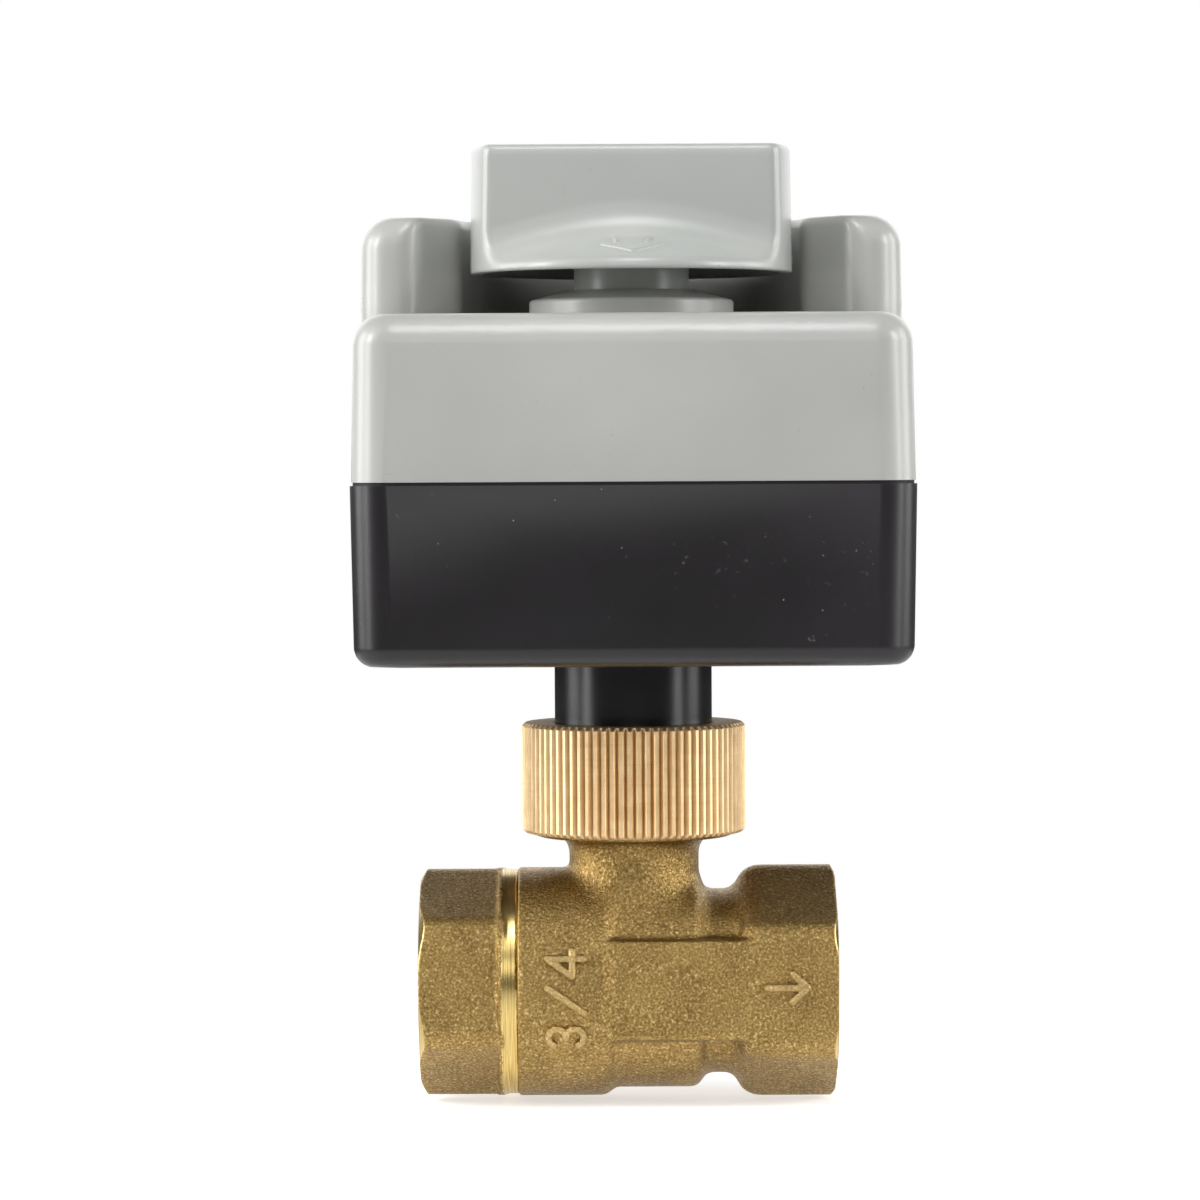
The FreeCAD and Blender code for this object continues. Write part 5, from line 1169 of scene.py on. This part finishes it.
def make_lights():
    soft_box("left_strip", -70, 23, 10, 23, 1.85)
    soft_box("left_low", -72, 4, 12, 15, 0.7)
    soft_box("left_side", -98, 15, 22, 35, 0.5)
    soft_box("left_high", -70, 45, 40, 20, 0.15)
    soft_box("right_strip", 66, 23, 14, 23, 1.0)
    soft_box("right_low", 68, 4, 12, 15, 0.6)
    soft_box("right_side", 98, 15, 22, 35, 0.4)
    soft_box("top_front", 0, 62, 30, 24, 0.84)
    soft_box("zenith", 0, 88, 60, 20, 0.7)
    soft_box("front_high", 0, 42, 24, 16, 0.15)
    soft_box("front_low", 0, 18, 26, 14, 0.18)
    soft_box("back", 180, 22, 90, 40, 0.12)
    world = bpy.data.worlds.new("studio")
    bpy.context.scene.world = world
    world.use_nodes = True
    tree = world.node_tree
    tree.nodes.clear()
    rays = add(tree, "ShaderNodeLightPath").outputs
    direct = (rays["Is Camera Ray"], rays["Is Transmission Ray"])
    seen = add(tree, "ShaderNodeMath", direct, operation="MAXIMUM")
    dim = add(tree, "ShaderNodeBackground", {"Color": "#FFFFFF", "Strength": 0.03})
    white = add(tree, "ShaderNodeBackground", {"Color": "#FFFFFF", "Strength": 1.0})
    both = add(tree, "ShaderNodeMixShader", (seen, dim, white))
    add(tree, "ShaderNodeOutputWorld", {"Surface": both})


def make_floor():
    """A pale sweep under the valve that reads as the white background and keeps the valve's shadow."""
    made, tree = material("studio_floor")
    place = add(tree, "ShaderNodeTexCoord").outputs["Object"]
    middle = (CENTRE[0] * MM, 0.0, 0.0)
    away = add(tree, "ShaderNodeVectorMath", (place, middle), operation="DISTANCE").outputs["Value"]
    plain = add(tree, "ShaderNodeBsdfDiffuse", {"Color": "#E8E8E8"})
    dark = add(tree, "ShaderNodeBsdfDiffuse", {"Color": "#545454"})
    # the camera sees the shadow near the valve, and plain white from 0.16 m away
    glow = add(tree, "ShaderNodeEmission", {"Color": "#FFFFFF", "Strength": 0.55})
    lit = add(tree, "ShaderNodeAddShader", (plain, glow))
    white = add(tree, "ShaderNodeEmission", {"Color": "#FFFFFF", "Strength": 1.0})
    far = add(tree, "ShaderNodeMapRange", (away, 0.06, 0.16), **EASED)
    seen = add(tree, "ShaderNodeMixShader", (far, lit, white))
    # reflections see a table that glows close to the valve, and a dark floor from 0.25 to 0.4 m away
    rays = add(tree, "ShaderNodeLightPath").outputs
    near = add(tree, "ShaderNodeMapRange", (away, 0.04, 0.09, 0.48, 0.05), **EASED)
    glow_near = add(tree, "ShaderNodeEmission", {"Color": "#FFFFFF", "Strength": near})
    bright = add(tree, "ShaderNodeAddShader", (plain, glow_near))
    table = add(tree, "ShaderNodeMixShader", (rays["Is Glossy Ray"], plain, bright))
    edge = add(tree, "ShaderNodeMapRange", (away, 0.25, 0.4), **EASED)
    unseen = add(tree, "ShaderNodeMixShader", (edge, table, dark))
    shown = add(tree, "ShaderNodeMixShader", (rays["Is Camera Ray"], unseen, seen))
    add(tree, "ShaderNodeOutputMaterial", {"Surface": shown})
    low = cad_low[2] - FLOOR_GAP
    corners = [(x * FLOOR_REACH, y * FLOOR_REACH, low) for x, y in ((-1, -1), (1, -1), (1, 1), (-1, 1))]
    mesh = bpy.data.meshes.new("floor")
    mesh.from_pydata(corners, [], [(0, 1, 2, 3)])
    mesh.materials.append(made)
    floor = bpy.data.objects.new("floor", mesh)
    bpy.context.scene.collection.objects.link(floor)


def make_camera():
    """Set back on a long lens, level with the housing and looking slightly down, as in the photograph."""
    focal_pixels, frame_pixels, sensor = 4560.0, 1200.0, 36.0
    data = bpy.data.cameras.new("camera")
    data.sensor_width = sensor
    data.lens = focal_pixels / frame_pixels * sensor
    camera = bpy.data.objects.new("camera", data)
    camera.location = (0.0272, -0.684, 0.0799)
    pitch, roll = math.radians(-1.9), math.radians(0.3)
    camera.rotation_mode = "XYZ"
    camera.rotation_euler = (math.radians(90) + pitch, roll, 0)
    bpy.context.scene.collection.objects.link(camera)
    bpy.context.scene.camera = camera


make_camera()
make_lights()
make_floor()
dress_nodes()
make_pieces()
bpy.context.scene.view_settings.view_transform = "Standard"
